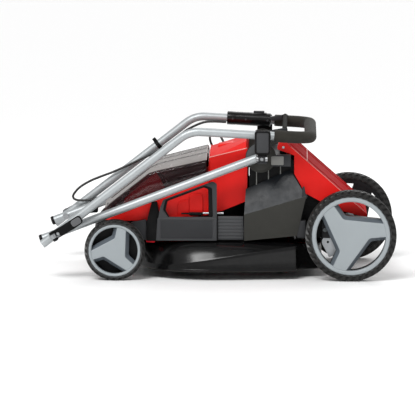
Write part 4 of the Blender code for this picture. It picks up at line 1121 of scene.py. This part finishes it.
bms = [(bm_box((0.0005, -0.1750, 0.0960), (0.0645, -0.1724, 0.1550), 0.0006, 2), 0)]
for k in range(7):
    z0 = 0.0985 + 0.0082 * k
    bms.append((bm_box((0.0008, -0.1762, z0), (0.0642, -0.1745, z0 + 0.0052),
                       0.0007, 2), 0))
put("height_scale_ribs", join_meshes("height_scale_ribs", bms), PANEL, "deck",
    ["height_scale"])

outline = rounded([(-0.1519, 0.0945), (-0.1493, 0.1335), (-0.1418, 0.1759),
                   (-0.1344, 0.1959), (-0.0106, 0.2423), (-0.0012, 0.2361),
                   (-0.0012, 0.0945)], [0.002, 0.004, 0.006, 0.007, 0.010,
                                        0.006, 0.002])
window = rounded([(-0.1220, 0.1535), (-0.1344, 0.1710), (-0.1282, 0.1960),
                  (-0.0304, 0.2325), (-0.0130, 0.2261), (-0.0108, 0.1535)],
                 [0.003, 0.006, 0.006, 0.008, 0.006, 0.003])
flange = rounded([(-0.1165, 0.1500), (-0.1280, 0.1705), (-0.1228, 0.1928),
                  (-0.0330, 0.2268), (-0.0228, 0.2225), (-0.0205, 0.1500)],
                 [0.001, 0.005, 0.005, 0.006, 0.005, 0.001])
around = rounded([(-0.1240, 0.1490), (-0.1358, 0.1705), (-0.1292, 0.1970),
                  (-0.0304, 0.2337), (-0.0118, 0.2270), (-0.0096, 0.1490)],
                 [0.002, 0.006, 0.006, 0.008, 0.006, 0.002])
recess = rounded([(-0.1419, 0.0990), (-0.1419, 0.1460), (-0.0106, 0.1460),
                  (-0.0106, 0.0990)], 0.002)
border = rounded([(-0.1505, 0.0950), (-0.1480, 0.1515), (-0.0020, 0.1515),
                  (-0.0020, 0.0950)], 0.003)
m = join_meshes("height_lever_frame", [
    (bm_outline([outline, window], -0.1840, -0.1768, bevel=0.0014), 0),
    (bm_outline([around, flange], -0.1790, -0.1768, bevel=0.0006), 2),
    (bm_outline([border, recess], -0.1850, -0.1830, bevel=0.0006), 0),
    (bm_outline([rounded([(-0.1405, 0.1000), (-0.1405, 0.1450),
                          (-0.0120, 0.1450), (-0.0120, 0.1000)], 0.003)],
                -0.1844, -0.1834, bevel=0.0003), 1)])
put("height_lever_frame", m, [PANEL, PANEL_DARK, BLACK], "height_slider",
    ["height_lever"])
m = join_meshes("height_link", [
    (bm_sweep([(-0.0362, -0.1640, 0.1610), (0.0150, -0.1640, 0.1610)],
              0.0029, 16), 0),
    (bm_box((-0.0700, -0.1672, 0.1562), (-0.0360, -0.1606, 0.1634), 0.0012, 2), 1),
    (bm_sweep([(-0.0900, -0.1640, 0.1600), (-0.0690, -0.1640, 0.1600)],
              0.0020, 12), 1),
    (bm_sweep([(-0.0690, -0.1770, 0.1600), (-0.0690, -0.1640, 0.1600)],
              0.0024, 12), 1)])
put("height_link", m, [ZINC, BLACK], "height_slider", ["height_link_rod"])

# ---------------------------------------------------------------------------
# Fairings, tunnel grille, hooks
# ---------------------------------------------------------------------------
for label, side in SIDES:
    skin("fairing_" + label, [GUARD, WARM], 0.0012, 2,
         choose=lambda p: 1 if abs(p.normal.y) > 0.93 else 0)
    bms = []
    for xx in (0.0965, 0.1263, 0.1560):
        bms.append((bm_box((xx - 0.0012, side * 0.1492 - 0.0012, 0.2300),
                           (xx + 0.0012, side * 0.1492 + 0.0012, 0.2790),
                           0.0005, 2), 0))
    put("grille_bars_" + label, join_meshes("grille_bars_" + label, bms),
        LABELLESS, "deck", ())
    hook = rounded([(0.2085, 0.2010), (0.2110, 0.2300), (0.2160, 0.2300),
                    (0.2180, 0.2140), (0.2235, 0.2060), (0.2200, 0.1990)],
                   0.002)
    block = bm_box(*[tuple(v) for v in zip(*[sorted(q) for q in (
        (0.1975, 0.2185), (side * 0.1460, side * 0.1832),
        (0.1030, 0.1450))])], 0.0016, 2)
    put("arch_block_" + label, join_meshes("arch_block_" + label,
                                           [(block, 0)]),
        PANEL_DARK, "deck", ())
    put("flap_hook_" + label,
        join_meshes("flap_hook_" + label,
                    [(bm_outline([hook], *sorted((side * 0.1765, side * 0.1835)),
                                 bevel=0.001), 0)]),
        PANEL_DARK, "deck", ())

# ---------------------------------------------------------------------------
# Rear flap and its rod and spring
# ---------------------------------------------------------------------------
# Flap faces turned up and rearward take the darker red as painted shade.
skin("rear_flap", [RED, RED_PAINTED_SHADE], 0.0016, 3, limit=20.0,
     choose=lambda p: 1 if p.normal.z > 0.35 and p.normal.x > 0.35 else 0)
skin("flap_rod", ZINC, 0.0003)
turns = []
for i in range(9 * 16 + 1):
    a = math.tau * i / 16
    turns.append((0.163 + 0.0047 * math.cos(a), 0.0212 + 0.0376 * i / (9 * 16),
                  0.325 + 0.0047 * math.sin(a)))
put("flap_spring_coil", to_mesh("flap_spring_coil", bm_sweep(turns, 0.0010, 8)),
    ZINC, "deck", ["flap_spring"])
d = Vector((0.7508, 0.0, -0.6606))
nrm = Vector((0.6606, 0.0, 0.7508))
start = Vector((0.1800, 0.0, 0.3272))
bms = []
# Raised strips on the flap top, coloured with the painted-shade red.
for side in (-1.0, 1.0):
    for y0, y1 in ((0.1470, 0.1560), (0.0900, 0.0960)):
        p0 = start + nrm * 0.0002
        p1 = start + d * 0.2450 + nrm * 0.0002
        lo, hi = sorted((side * y0, side * y1))
        h = 0.0010
        ring0 = [p0 + Vector((0, lo, 0)), p0 + Vector((0, lo, 0)) + nrm * h,
                 p0 + Vector((0, hi, 0)) + nrm * h, p0 + Vector((0, hi, 0))]
        ring1 = [q + (p1 - p0) for q in ring0]
        bm = bm_loft([ring0, ring1])
        bmesh.ops.bevel(bm, geom=bm.edges[:], offset=0.0004, segments=2,
                        profile=0.5, affect="EDGES")
        bms.append((bm, 0))
# Pale beads along both flap edges: painted highlight.
for side in (-1.0, 1.0):
    p0, p1 = (start + d * s_ + nrm * 0.0003 for s_ in (0.0020, 0.2440))
    bms.append((bm_sweep([(p0.x, side * 0.1552, p0.z),
                          (p1.x, side * 0.1552, p1.z)], 0.0010, 10), 1))
# Pale bead across the fold crease: painted highlight.
fold = start + d * 0.0560 + nrm * 0.0001
bms.append((bm_sweep([(fold.x, -0.1480, fold.z), (fold.x, 0.1480, fold.z)],
                     0.0013, 10), 1))
put("flap_ridges", join_meshes("flap_ridges", bms), [RED_PAINTED_SHADE, RED_PAINTED_HIGHLIGHT],
    "flap", ())

# ---------------------------------------------------------------------------
# Drive
# ---------------------------------------------------------------------------
skin("motor_housing", PANEL_DARK, 0.0012)
skin("motor_shaft", ZINC, 0.0004)
skin("blade_holder", BLACK, 0.0008)
skin("blade_bolt", ZINC, 0.0006)
bm = bmesh.new()
secs = []
for i in range(41):
    y = -0.2150 + 0.4300 * i / 40
    k = abs(y) / 0.2150
    rise = 0.0022 * max(0.0, k - 0.72) / 0.28
    chord = 0.0240 - 0.0035 * (k > 0.95) * (k - 0.95) / 0.05
    sgn = 1.0 if y > 0 else -1.0
    pts = [(-chord, 0.0), (-chord, 0.0034), (chord, 0.0034), (chord, 0.0)]
    ring = []
    for cx, cz in pts:
        lift = rise if cx * sgn < 0 else 0.0
        thin = 0.0022 if (cx * sgn > 0 and k > 0.6 and cz > 0) else 0.0
        ring.append((0.0225 + cx, y, 0.0400 + cz + lift * 0.0 - thin))
    secs.append(ring)
m = join_meshes("blade_bar", [(bm_loft(secs), 0)])
put("blade_bar", m, BLADE, "cutter", ["blade"], 20.0, 0.0004)

# ---------------------------------------------------------------------------
# Brackets, bolts and clamp levers
# ---------------------------------------------------------------------------
P = (0.1080, 0.3055)
FA = math.radians(200.8)
along = (math.cos(FA), math.sin(FA))
J = (P[0] + 0.545 * along[0], P[1] + 0.545 * along[1])
for label, side in SIDES:
    skin("handle_bracket_" + label, [PANEL_DARK, WARM], 0.0016, 3,
         choose=lambda p: 1 if math.hypot(p.center.x - 0.108,
                                          p.center.z - 0.3055) < 0.034 else 0)
    insert = rounded([(0.1330, 0.2835), (0.1330, 0.3055), (0.1640, 0.3055),
                      (0.1640, 0.2835)], 0.003)
    disc = [(0.1075 + 0.0380 * math.cos(math.tau * i / 72),
             0.3026 + 0.0380 * math.sin(math.tau * i / 72)) for i in range(72)]
    # Upper-left sector of the disc in lighter grey: painted light where the light falls.
    painted_light_sector = (arc(0.1075, 0.3026, 0.0362, 84.0, 184.0, 20)
              + arc(0.1075, 0.3026, 0.0150, 184.0, 84.0, 12))
    put("bracket_insert_" + label,
        join_meshes("bracket_insert_" + label,
                    [(bm_outline([insert], *sorted((side * 0.1825, side * 0.1842)),
                                 bevel=0.0006), 0),
                     (bm_outline([disc], *sorted((side * 0.1812, side * 0.1829)),
                                 bevel=0.0006), 1),
                     (bm_outline([painted_light_sector], *sorted((side * 0.1822, side * 0.1837)),
                                 bevel=0.0005), 2)]),
        [LABELLESS, WARM, PANEL_PAINTED_LIGHT], "deck", ())
    skin("pivot_bolt_" + label, CHROME, 0.0006)
    skin("fold_bolt_" + label, CHROME, 0.0006)
    # pivot clamp lever: framed plate on a plated cam head
    def flat(loop, a, b, bevel, res=2, s=side):
        lo_, hi_ = sorted((s * a, s * b))
        return bm_outline([loop], lo_, hi_, bevel=bevel, res=res)

    def ring_(outer, inner, a, b, bevel, s=side):
        lo_, hi_ = sorted((s * a, s * b))
        return bm_outline([outer, inner], lo_, hi_, bevel=bevel)

    def quad(x0, x1, z0, z1, r):
        return rounded([(x0, z0), (x1, z0), (x1, z1), (x0, z1)], r, 7)
    x0, x1, z0, z1 = 0.0930, 0.1322, 0.3145, 0.3744
    bms = [(flat(quad(x0, x1, z0, z1, 0.0078), 0.2380, 0.2452, 0.0026, 3), 0),
           (ring_(quad(x0 + 0.0012, x1 - 0.0012, z0 + 0.0012, z1 - 0.0012, 0.0068),
                  quad(x0 + 0.0046, x1 - 0.0046, z0 + 0.0052, z1 - 0.0052, 0.0042),
                  0.2450, 0.2494, 0.0010), 0),
           (flat(quad(x0 + 0.0042, x1 - 0.0042, z0 + 0.0048, z1 - 0.0048, 0.0044),
                 0.2450, 0.2478, 0.0006), 1),
           (flat(quad(0.1010, 0.1235, 0.3040, 0.3180, 0.0020), 0.2390, 0.2450,
                 0.0010), 0),
           (bm_sweep([(x, side * 0.2430, 0.3040) for x in
                      (0.0968, 0.0972, 0.1024, 0.1028)], 0.007, 24,
                     [0.0066, 0.0074, 0.0074, 0.0066]), 2),
           (bm_sweep([(0.1028, side * 0.2430, 0.3040),
                      (0.1190, side * 0.2430, 0.3040)], 0.0068, 24), 3),
           (bm_sweep([(x, side * 0.2430, 0.3040) for x in
                      (0.1190, 0.1194, 0.1246, 0.1250)], 0.007, 24,
                     [0.0066, 0.0074, 0.0074, 0.0066]), 2),
           (bm_sweep([(0.1108, side * h, 0.3040) for h in
                      (0.2440, 0.2492, 0.2500)], 0.005, 6,
                     [0.0050, 0.0050, 0.0042]), 2),
           (flat(quad(0.0985, 0.1235, 0.2925, 0.2975, 0.0015), 0.2366, 0.2440,
                 0.0008), 3)]
    put("pivot_lever_plate_" + label,
        join_meshes("pivot_lever_plate_" + label, bms),
        [BLACK, PANEL, CHROME, PANEL_DARK], "pivot_clamp_" + label,
        ["pivot_lever_" + label], 35.0)
    # fold clamp lever: long grip on a slotted cam head
    la = math.radians(32.5)
    fx, fz = J[0], J[1]

    def turned_(loop):
        return [(fx + u_ * math.cos(la) - v_ * math.sin(la),
                 fz + u_ * math.sin(la) + v_ * math.cos(la)) for u_, v_ in loop]

    def at(u_, v_, h, s=side):
        (px, pz), = turned_([(u_, v_)])
        return (px, s * h, pz)

    def quad2(u0, u1, v0, v1, r):
        return turned_(rounded([(u0, v0), (u1, v0), (u1, v1), (u0, v1)], r, 7))
    grip_loop = turned_(rounded([(0.0060, -0.0102), (0.0520, -0.0118),
                                 (0.0820, -0.0100), (0.0820, 0.0118),
                                 (0.0300, 0.0112), (0.0060, 0.0124)],
                                [0.002, 0.006, 0.009, 0.009, 0.006, 0.002], 6))
    bms = [(flat(grip_loop, 0.2384, 0.2448, 0.0024, 3), 0),
           (flat(quad2(0.0530, 0.0785, -0.0078, 0.0088, 0.0062), 0.2446, 0.2472,
                 0.0012), 1),
           (flat(quad2(0.0180, 0.0515, -0.0086, 0.0096, 0.0030), 0.2446, 0.2462,
                 0.0008), 0),
           (bm_sweep([at(0.0, v_, 0.2430) for v_ in
                      (-0.0125, -0.0120, 0.0120, 0.0125)], 0.007, 24,
                     [0.0060, 0.0070, 0.0070, 0.0060]), 0),
           (bm_sweep([at(0.0, v_, 0.2430) for v_ in
                      (-0.0060, -0.0055, 0.0055, 0.0060)], 0.0078, 20,
                     [0.0068, 0.0076, 0.0076, 0.0068]), 2),
           (bm_sweep([at(0.0, v_, 0.2430) for v_ in (-0.0136, 0.0136)],
                     0.0032, 14), 2),
           (flat(quad2(-0.0090, 0.0075, -0.0098, 0.0106, 0.0030), 0.2362, 0.2384,
                 0.0008), 2),
           (bm_sweep([at(0.0125, 0.0, h) for h in (0.2440, 0.2476, 0.2482)],
                     0.004, 6, [0.0042, 0.0042, 0.0034]), 2)]
    for k in range(3):
        bms.append((flat(quad2(0.0075 + 0.0030 * k, 0.0090 + 0.0030 * k,
                               -0.0080, -0.0030 + 0.001 * k, 0.0004),
                         0.2446, 0.2466, 0.0003), 2))
    put("fold_lever_grip_" + label,
        join_meshes("fold_lever_grip_" + label, bms),
        [BLACK, LEVER, CHROME], "fold_clamp_" + label,
        ["fold_lever_" + label], 35.0)

# ---------------------------------------------------------------------------
# Handle tubes, grip and end plugs
# ---------------------------------------------------------------------------
P = (0.1080, 0.3055)
FA = math.radians(200.8)
along = (math.cos(FA), math.sin(FA))
J = (P[0] + 0.545 * along[0], P[1] + 0.545 * along[1])
UA = math.radians(37.7)
BEND = (-0.0676, 0.3699)
SLOPE = -0.0533
BAR_X = 0.2300
LY, UY, TR = 0.1950, 0.2200, 0.0105


def leg_z(x):
    return BEND[1] + SLOPE * (x - BEND[0])


for label, side in SIDES:
    y = side * LY
    pts, rad = [], []
    for dist, r in ((-0.0125, TR * 0.80), (-0.0118, TR * 0.95), (-0.0100, TR),
                    (0.05, TR), (0.2, TR), (0.35, TR), (0.50, TR), (0.5780, TR)):
        pts.append((P[0] + dist * along[0], y, P[1] + dist * along[1]))
        rad.append(r)
    tube = bm_sweep(pts, TR, 28, rad)
    pts, rad = [], []
    for dist, r in ((0.5770, TR + 0.0003), (0.5778, TR + 0.0007),
                    (0.5838, TR + 0.0007), (0.5850, TR - 0.0012)):
        pts.append((P[0] + dist * along[0], y, P[1] + dist * along[1]))
        rad.append(r)
    plug = bm_sweep(pts, TR, 28, rad)
    m = join_meshes("lower_tube_%s_metal" % label, [(tube, 0), (plug, 1)])
    put("lower_tube_%s_metal" % label, m, [SILVER, BLACK], "lower_handle",
        ["lower_tube_" + label], 40)

tail = (J[0] - 0.0380 * math.cos(UA), J[1] - 0.0380 * math.sin(UA))
left = [(tail[0], -UY, tail[1]), (BEND[0], -UY, BEND[1]),
        (BAR_X, -UY, leg_z(BAR_X))]
corners = left + [(x, -y, z) for x, y, z in reversed(left)]
path = rounded_path(corners, (0.075, 0.042, 0.042, 0.075), (12, 14, 14, 12))
m = join_meshes("upper_handle_metal", [(bm_sweep(path, TR, 28), 0)])
for v in m.vertices:                       # pressed flat round the fold bolt
    dx = (v.co.x - J[0]) * math.cos(UA) + (v.co.z - J[1]) * math.sin(UA)
    if dx < 0.035 and abs(abs(v.co.y) - UY) < 0.02:
        s = 1.0 if v.co.y > 0 else -1.0
        k = 1.0 if dx < 0.018 else (0.035 - dx) / 0.017
        v.co.y = s * UY + (v.co.y - s * UY) * (1 - 0.25 * k)
put("upper_handle_metal", m, SILVER, "upper_frame", ["upper_handle"],
    40)

GRIP_X = 0.1410
FAR_X = GRIP_X - 0.0030
corners = [(GRIP_X, -UY, leg_z(GRIP_X)), (BAR_X, -UY, leg_z(BAR_X)),
           (BAR_X, UY, leg_z(BAR_X)), (FAR_X, UY, leg_z(FAR_X))]
path = rounded_path(corners, (0.042, 0.042), (14, 14))
dense = [path[0], path[0].lerp(path[1], 0.02), path[0].lerp(path[1], 0.05)]
dense += [path[0].lerp(path[1], t) for t in (0.3, 0.65)]
dense += path[1:15]
straight = [path[15].lerp(path[16], 0.0)]
mid_a, mid_b = path[15], path[16]
dense += [mid_a.lerp(mid_b, k / 14) for k in range(0, 15)]
dense += path[17:-1]
dense += [path[-2].lerp(path[-1], t) for t in (0.35, 0.7, 0.95, 0.98)]
dense.append(path[-1])
rad = [0.0150] * len(dense)
rad[0] = rad[-1] = 0.0128
rad[1] = rad[-2] = 0.0143
m = join_meshes("grip_sleeve", [(bm_sweep(dense, 0.015, 32, rad), 0)])
put("grip_sleeve", m, FOAM, "upper_frame", ["grip"], 50)

# ---------------------------------------------------------------------------
# Switch housing, button and bail
# ---------------------------------------------------------------------------
S0, S1 = 0.0155, 0.1280


def on_leg(x, r=0.0):
    return (x, UY, leg_z(x) + r)


pts, rad = [], []
for t, r in ((0.0, 0.0150), (0.006, 0.0164), (0.014, 0.0172), (0.10, 0.0175),
             (0.20, 0.0172), (0.205, 0.0164), (0.215, 0.0164), (0.22, 0.0172),
             (0.72, 0.0175), (0.725, 0.0166), (0.735, 0.0166), (0.74, 0.0174),
             (0.985, 0.0174), (0.995, 0.0166), (1.0, 0.0150)):
    pts.append(on_leg(S0 + (S1 - S0) * t))
    rad.append(r)
housing = bm_sweep(pts, 0.0175, 36, rad)
saddle = bm_box((0.0780, UY - 0.0100, leg_z(0.098) + 0.0125),
                (0.1180, UY + 0.0100, 0.3782), 0.0018, 3)
screws = []
for xx in (0.0300, 0.0640, 0.1200):
    screws.append((bm_sweep([(xx, UY - 0.0178, leg_z(xx)),
                             (xx, UY - 0.0150, leg_z(xx))], 0.0028, 14), 1))
m = join_meshes("switch_housing", [(housing, 0), (saddle, 0)] + screws)
put("switch_housing", m, [BLACK_GLOSS, PANEL_DARK], "upper_frame",
    ["switch_box"], 30)
m = join_meshes("lock_key", [(bm_box((0.0842, UY - 0.0058, 0.3774),
                                     (0.1118, UY + 0.0058, 0.3834), 0.0016, 3), 0)])
for v in m.vertices:
    if v.co.z > 0.380:
        v.co.z -= 0.0010 * (1 - ((v.co.x - 0.098) / 0.0138) ** 2)
put("lock_key", m, PANEL_DARK, "button", ["lock_button"], 40)

BP, BB = (0.1330, 0.3655), (0.1660, 0.3710)
bar = bm_sweep([(BB[0], y, BB[1]) for y in (-0.1900, -0.1, 0.0, 0.1, 0.1900)],
               0.0060, 24)
bms = [(bar, 0)]
for label, side in SIDES:
    pts = [(BB[0], side * y, BB[1]) for y in (0.1800, 0.1815, 0.1835, 0.1915,
                                              0.1924)]
    bms.append((bm_sweep(pts, 0.01, 28, [0.0064, 0.0072, 0.0076, 0.0076,
                                         0.0068]), 0))
    outline = (arc(*BB, 0.0060, -80.0, 100.0, 10)
               + arc(*BP, 0.0060, 100.0, 280.0, 10))
    bms.append((bm_outline([outline], *sorted((side * 0.1926, side * 0.1954)),
                           bevel=0.0007), 1))
    bms.append((bm_sweep([(BP[0], side * 0.1930, BP[1]),
                          (BP[0], side * 0.2088, BP[1])], 0.0034, 16), 1))
put("start_bail_bar", join_meshes("start_bail_bar", bms), [BAIL, PANEL_DARK],
    "bail", ["start_bail"], 35)

# ---------------------------------------------------------------------------
# Cable
# ---------------------------------------------------------------------------
UNDER = TR + 0.0030 + 0.0012


def below_leg(x, inward, gap):
    z = BEND[1] + (x - BEND[0]) * math.tan(UA)
    return (x, UY - inward, z - gap / math.cos(UA))


route_upper = [(S0 - 0.0024, UY - 0.0096, leg_z(S0) - 0.0106),
               (-0.0200, UY - 0.0092, leg_z(-0.0200) - 0.0112),
               (-0.0480, UY - 0.0060, leg_z(-0.0480) - 0.0160),
               below_leg(-0.0850, 0.0005, 0.0165),
               below_leg(-0.1200, 0.0020, 0.0150),
               below_leg(-0.1600, 0.0070, 0.0132),
               below_leg(-0.1800, 0.0115, 0.0098),
               below_leg(-0.1980, 0.0142, 0.0048),
               (-0.2400, UY - 0.0152, 0.2430), (-0.2800, UY - 0.0152, 0.2250),
               (-0.3080, UY - 0.0158, 0.2145), (-0.3380, UY - 0.0165, 0.2021),
               (-0.3637, UY - 0.0175, 0.1869), (-0.3789, UY - 0.0190, 0.1717),
               (-0.3840, UY - 0.0210, 0.1600), (-0.3760, UY - 0.0230, 0.1532),
               (-0.3590, UY - 0.0245, 0.1515), (-0.3356, UY - 0.0250, 0.1534)]


def on_lower(distance, lift=0.0):
    return (P[0] + distance * along[0] + lift * along[1],
            P[1] + distance * along[1] - lift * along[0])


SIDE_Y = LY - TR - 0.0030 - 0.0008
lift0 = 0.0152
pp = [(-0.3338, 0.1539), on_lower(0.4500, lift0 - 0.0005),
      on_lower(0.4250, 0.0115), on_lower(0.3950, 0.0050), on_lower(0.3600, 0.0),
      on_lower(0.2800, 0.0), on_lower(0.2200, 0.0), on_lower(0.1500, 0.0)]
ys = [LY, LY - 0.0010, LY - 0.0085, LY - 0.0135, SIDE_Y, SIDE_Y, SIDE_Y, SIDE_Y]
route_lower = [(x, y, z) for (x, z), y in zip(pp, ys)]
x0, z0 = on_lower(0.1496)
x1, z1 = on_lower(0.1380)
route_deck = [(x0, SIDE_Y, z0), (x1, SIDE_Y - 0.0006, z1 + 0.0005),
              (-0.0170, 0.1755, 0.2700), (-0.0185, 0.1720, 0.2840),
              (-0.0222, 0.1700, 0.2974), (-0.0270, 0.1680, 0.3110),
              (-0.0265, 0.1660, 0.3235), (-0.0140, 0.1630, 0.3320),
              (-0.0008, 0.1600, 0.3225), (0.0056, 0.1570, 0.3120),
              (0.0130, 0.1520, 0.2985), (0.0150, 0.1440, 0.2925),
              (0.0155, 0.1357, 0.2915)]
loop_pts = smooth_route(route_upper, 0.006)
put("cable_from_switch", join_meshes("cable_from_switch",
    [(bm_sweep(loop_pts, 0.0030, 12), 0)]), CABLE, None, ["cable_upper"],
    60)
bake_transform(PIECES[-1])
low_pts = smooth_route(route_lower, 0.008)
put("cable_on_tube", join_meshes("cable_on_tube",
    [(bm_sweep(low_pts, 0.0030, 12), 0)]), CABLE, "lower_handle",
    ["cable_lower"], 60)
arch = smooth_route(route_deck, 0.005)
put("cable_to_hood", join_meshes("cable_to_hood",
    [(bm_sweep(arch, 0.0030, 12), 0)]), CABLE, None, ["cable_deck"],
    60)
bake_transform(PIECES[-1])
# boot where the cable enters the hood, clips that hold it to the tubes
boot = [(0.0155, 0.1352, 0.2915), (0.0155, 0.1375, 0.2915),
        (0.0154, 0.1400, 0.2918), (0.0152, 0.1440, 0.2925)]
put("cable_boot", join_meshes("cable_boot",
    [(bm_sweep(boot, 0.005, 16, [0.0070, 0.0064, 0.0050, 0.0042]), 0)]),
    BLACK, "deck", (), 60)
holder = rounded([(-0.3445, 0.1195), (-0.3190, 0.1215), (-0.3165, 0.1480),
                  (-0.3380, 0.1480)], 0.0025)
put("cable_holder", join_meshes("cable_holder",
    [(bm_outline([holder], 0.1835, 0.2065, bevel=0.0014), 0)]), BLACK,
    "lower_handle", (), 35)
for name, body, cx, cy, cz, ang in (
        ("clip_upper", "upper_frame", -0.1634, UY, BEND[1] + (-0.1634 - BEND[0]) * math.tan(UA), UA),
        ("clip_joint", "lower_handle", *[(P[0] + 0.43 * along[0]), LY, (P[1] + 0.43 * along[1])], FA),
        ("clip_lower", "lower_handle", *[(P[0] + 0.30 * along[0]), LY, (P[1] + 0.30 * along[1])], FA)):
    t = (math.cos(ang), 0.0, math.sin(ang))
    pts = [(cx + t[0] * d_, cy, cz + t[2] * d_) for d_ in
           (-0.0050, -0.0045, 0.0045, 0.0050)]
    ring = bm_sweep(pts, 0.0125, 24, [0.0112, 0.0122, 0.0122, 0.0112])
    ear = bm_box((-0.0045, -0.0050, -0.0020), (0.0045, 0.0050, 0.0105), 0.001, 2)
    bmesh.ops.transform(ear, matrix=Matrix.Translation((cx, cy, cz))
                        @ Matrix.Rotation(-ang, 4, "Y")
                        @ Matrix.Translation((0, 0, 0.0095 if name == "clip_upper" else -0.0)),
                        verts=ear.verts)
    bms = [(ring, 0)]
    if name == "clip_upper":
        bms.append((ear, 0))
    else:
        ear.free()
    put(name, join_meshes(name, bms), BLACK, body, (), 35)

# ---------------------------------------------------------------------------
# Stage: pale floor and soft studio light
# ---------------------------------------------------------------------------
bm = bmesh.new()
bmesh.ops.create_grid(bm, x_segments=1, y_segments=1, size=30.0)
mesh = to_mesh("studio_floor", bm)
mat, n = new_material("studio_floor", 0.65, 0.0, 0.2)
n.bsdf.inputs["Base Color"].default_value = (0.93, 0.93, 0.93, 1.0)
mesh.materials.append(mat)
floor = bpy.data.objects.new("studio_floor", mesh)
bpy.context.scene.collection.objects.link(floor)

world = bpy.data.worlds.new("studio")
world.use_nodes = True
world.node_tree.nodes["Background"].inputs["Color"].default_value = (1, 1, 1, 1)
world.node_tree.nodes["Background"].inputs["Strength"].default_value = 0.50
bpy.context.scene.world = world


def area(name, loc, target, size, power, size_y=None):
    data = bpy.data.lights.new(name, "AREA")
    data.energy = power
    data.size = size
    if size_y:
        data.shape = "RECTANGLE"
        data.size_y = size_y
    ob = bpy.data.objects.new(name, data)
    ob.location = loc
    ob.rotation_euler = (Vector(target) - Vector(loc)).to_track_quat(
        "-Z", "Y").to_euler()
    bpy.context.scene.collection.objects.link(ob)


area("key", (-1.3, -2.4, 2.4), (0, 0, 0.15), 1.2, 26)
area("fill", (2.4, -2.4, 1.2), (0.1, 0, 0.15), 1.4, 9)
area("back", (0.5, 3.0, 1.8), (0, 0, 0.2), 1.6, 16)
for name, tilt, spin, power, soft in (
        ("sun_front", 42.0, -22.0, 1.75, 30.0),
        ("sun_back", 40.0, 150.0, 0.75, 40.0)):
    data = bpy.data.lights.new(name, "SUN")
    data.energy = power
    data.angle = math.radians(soft)
    ob = bpy.data.objects.new(name, data)
    ob.rotation_euler = (math.radians(tilt), 0.0, math.radians(spin))
    bpy.context.scene.collection.objects.link(ob)
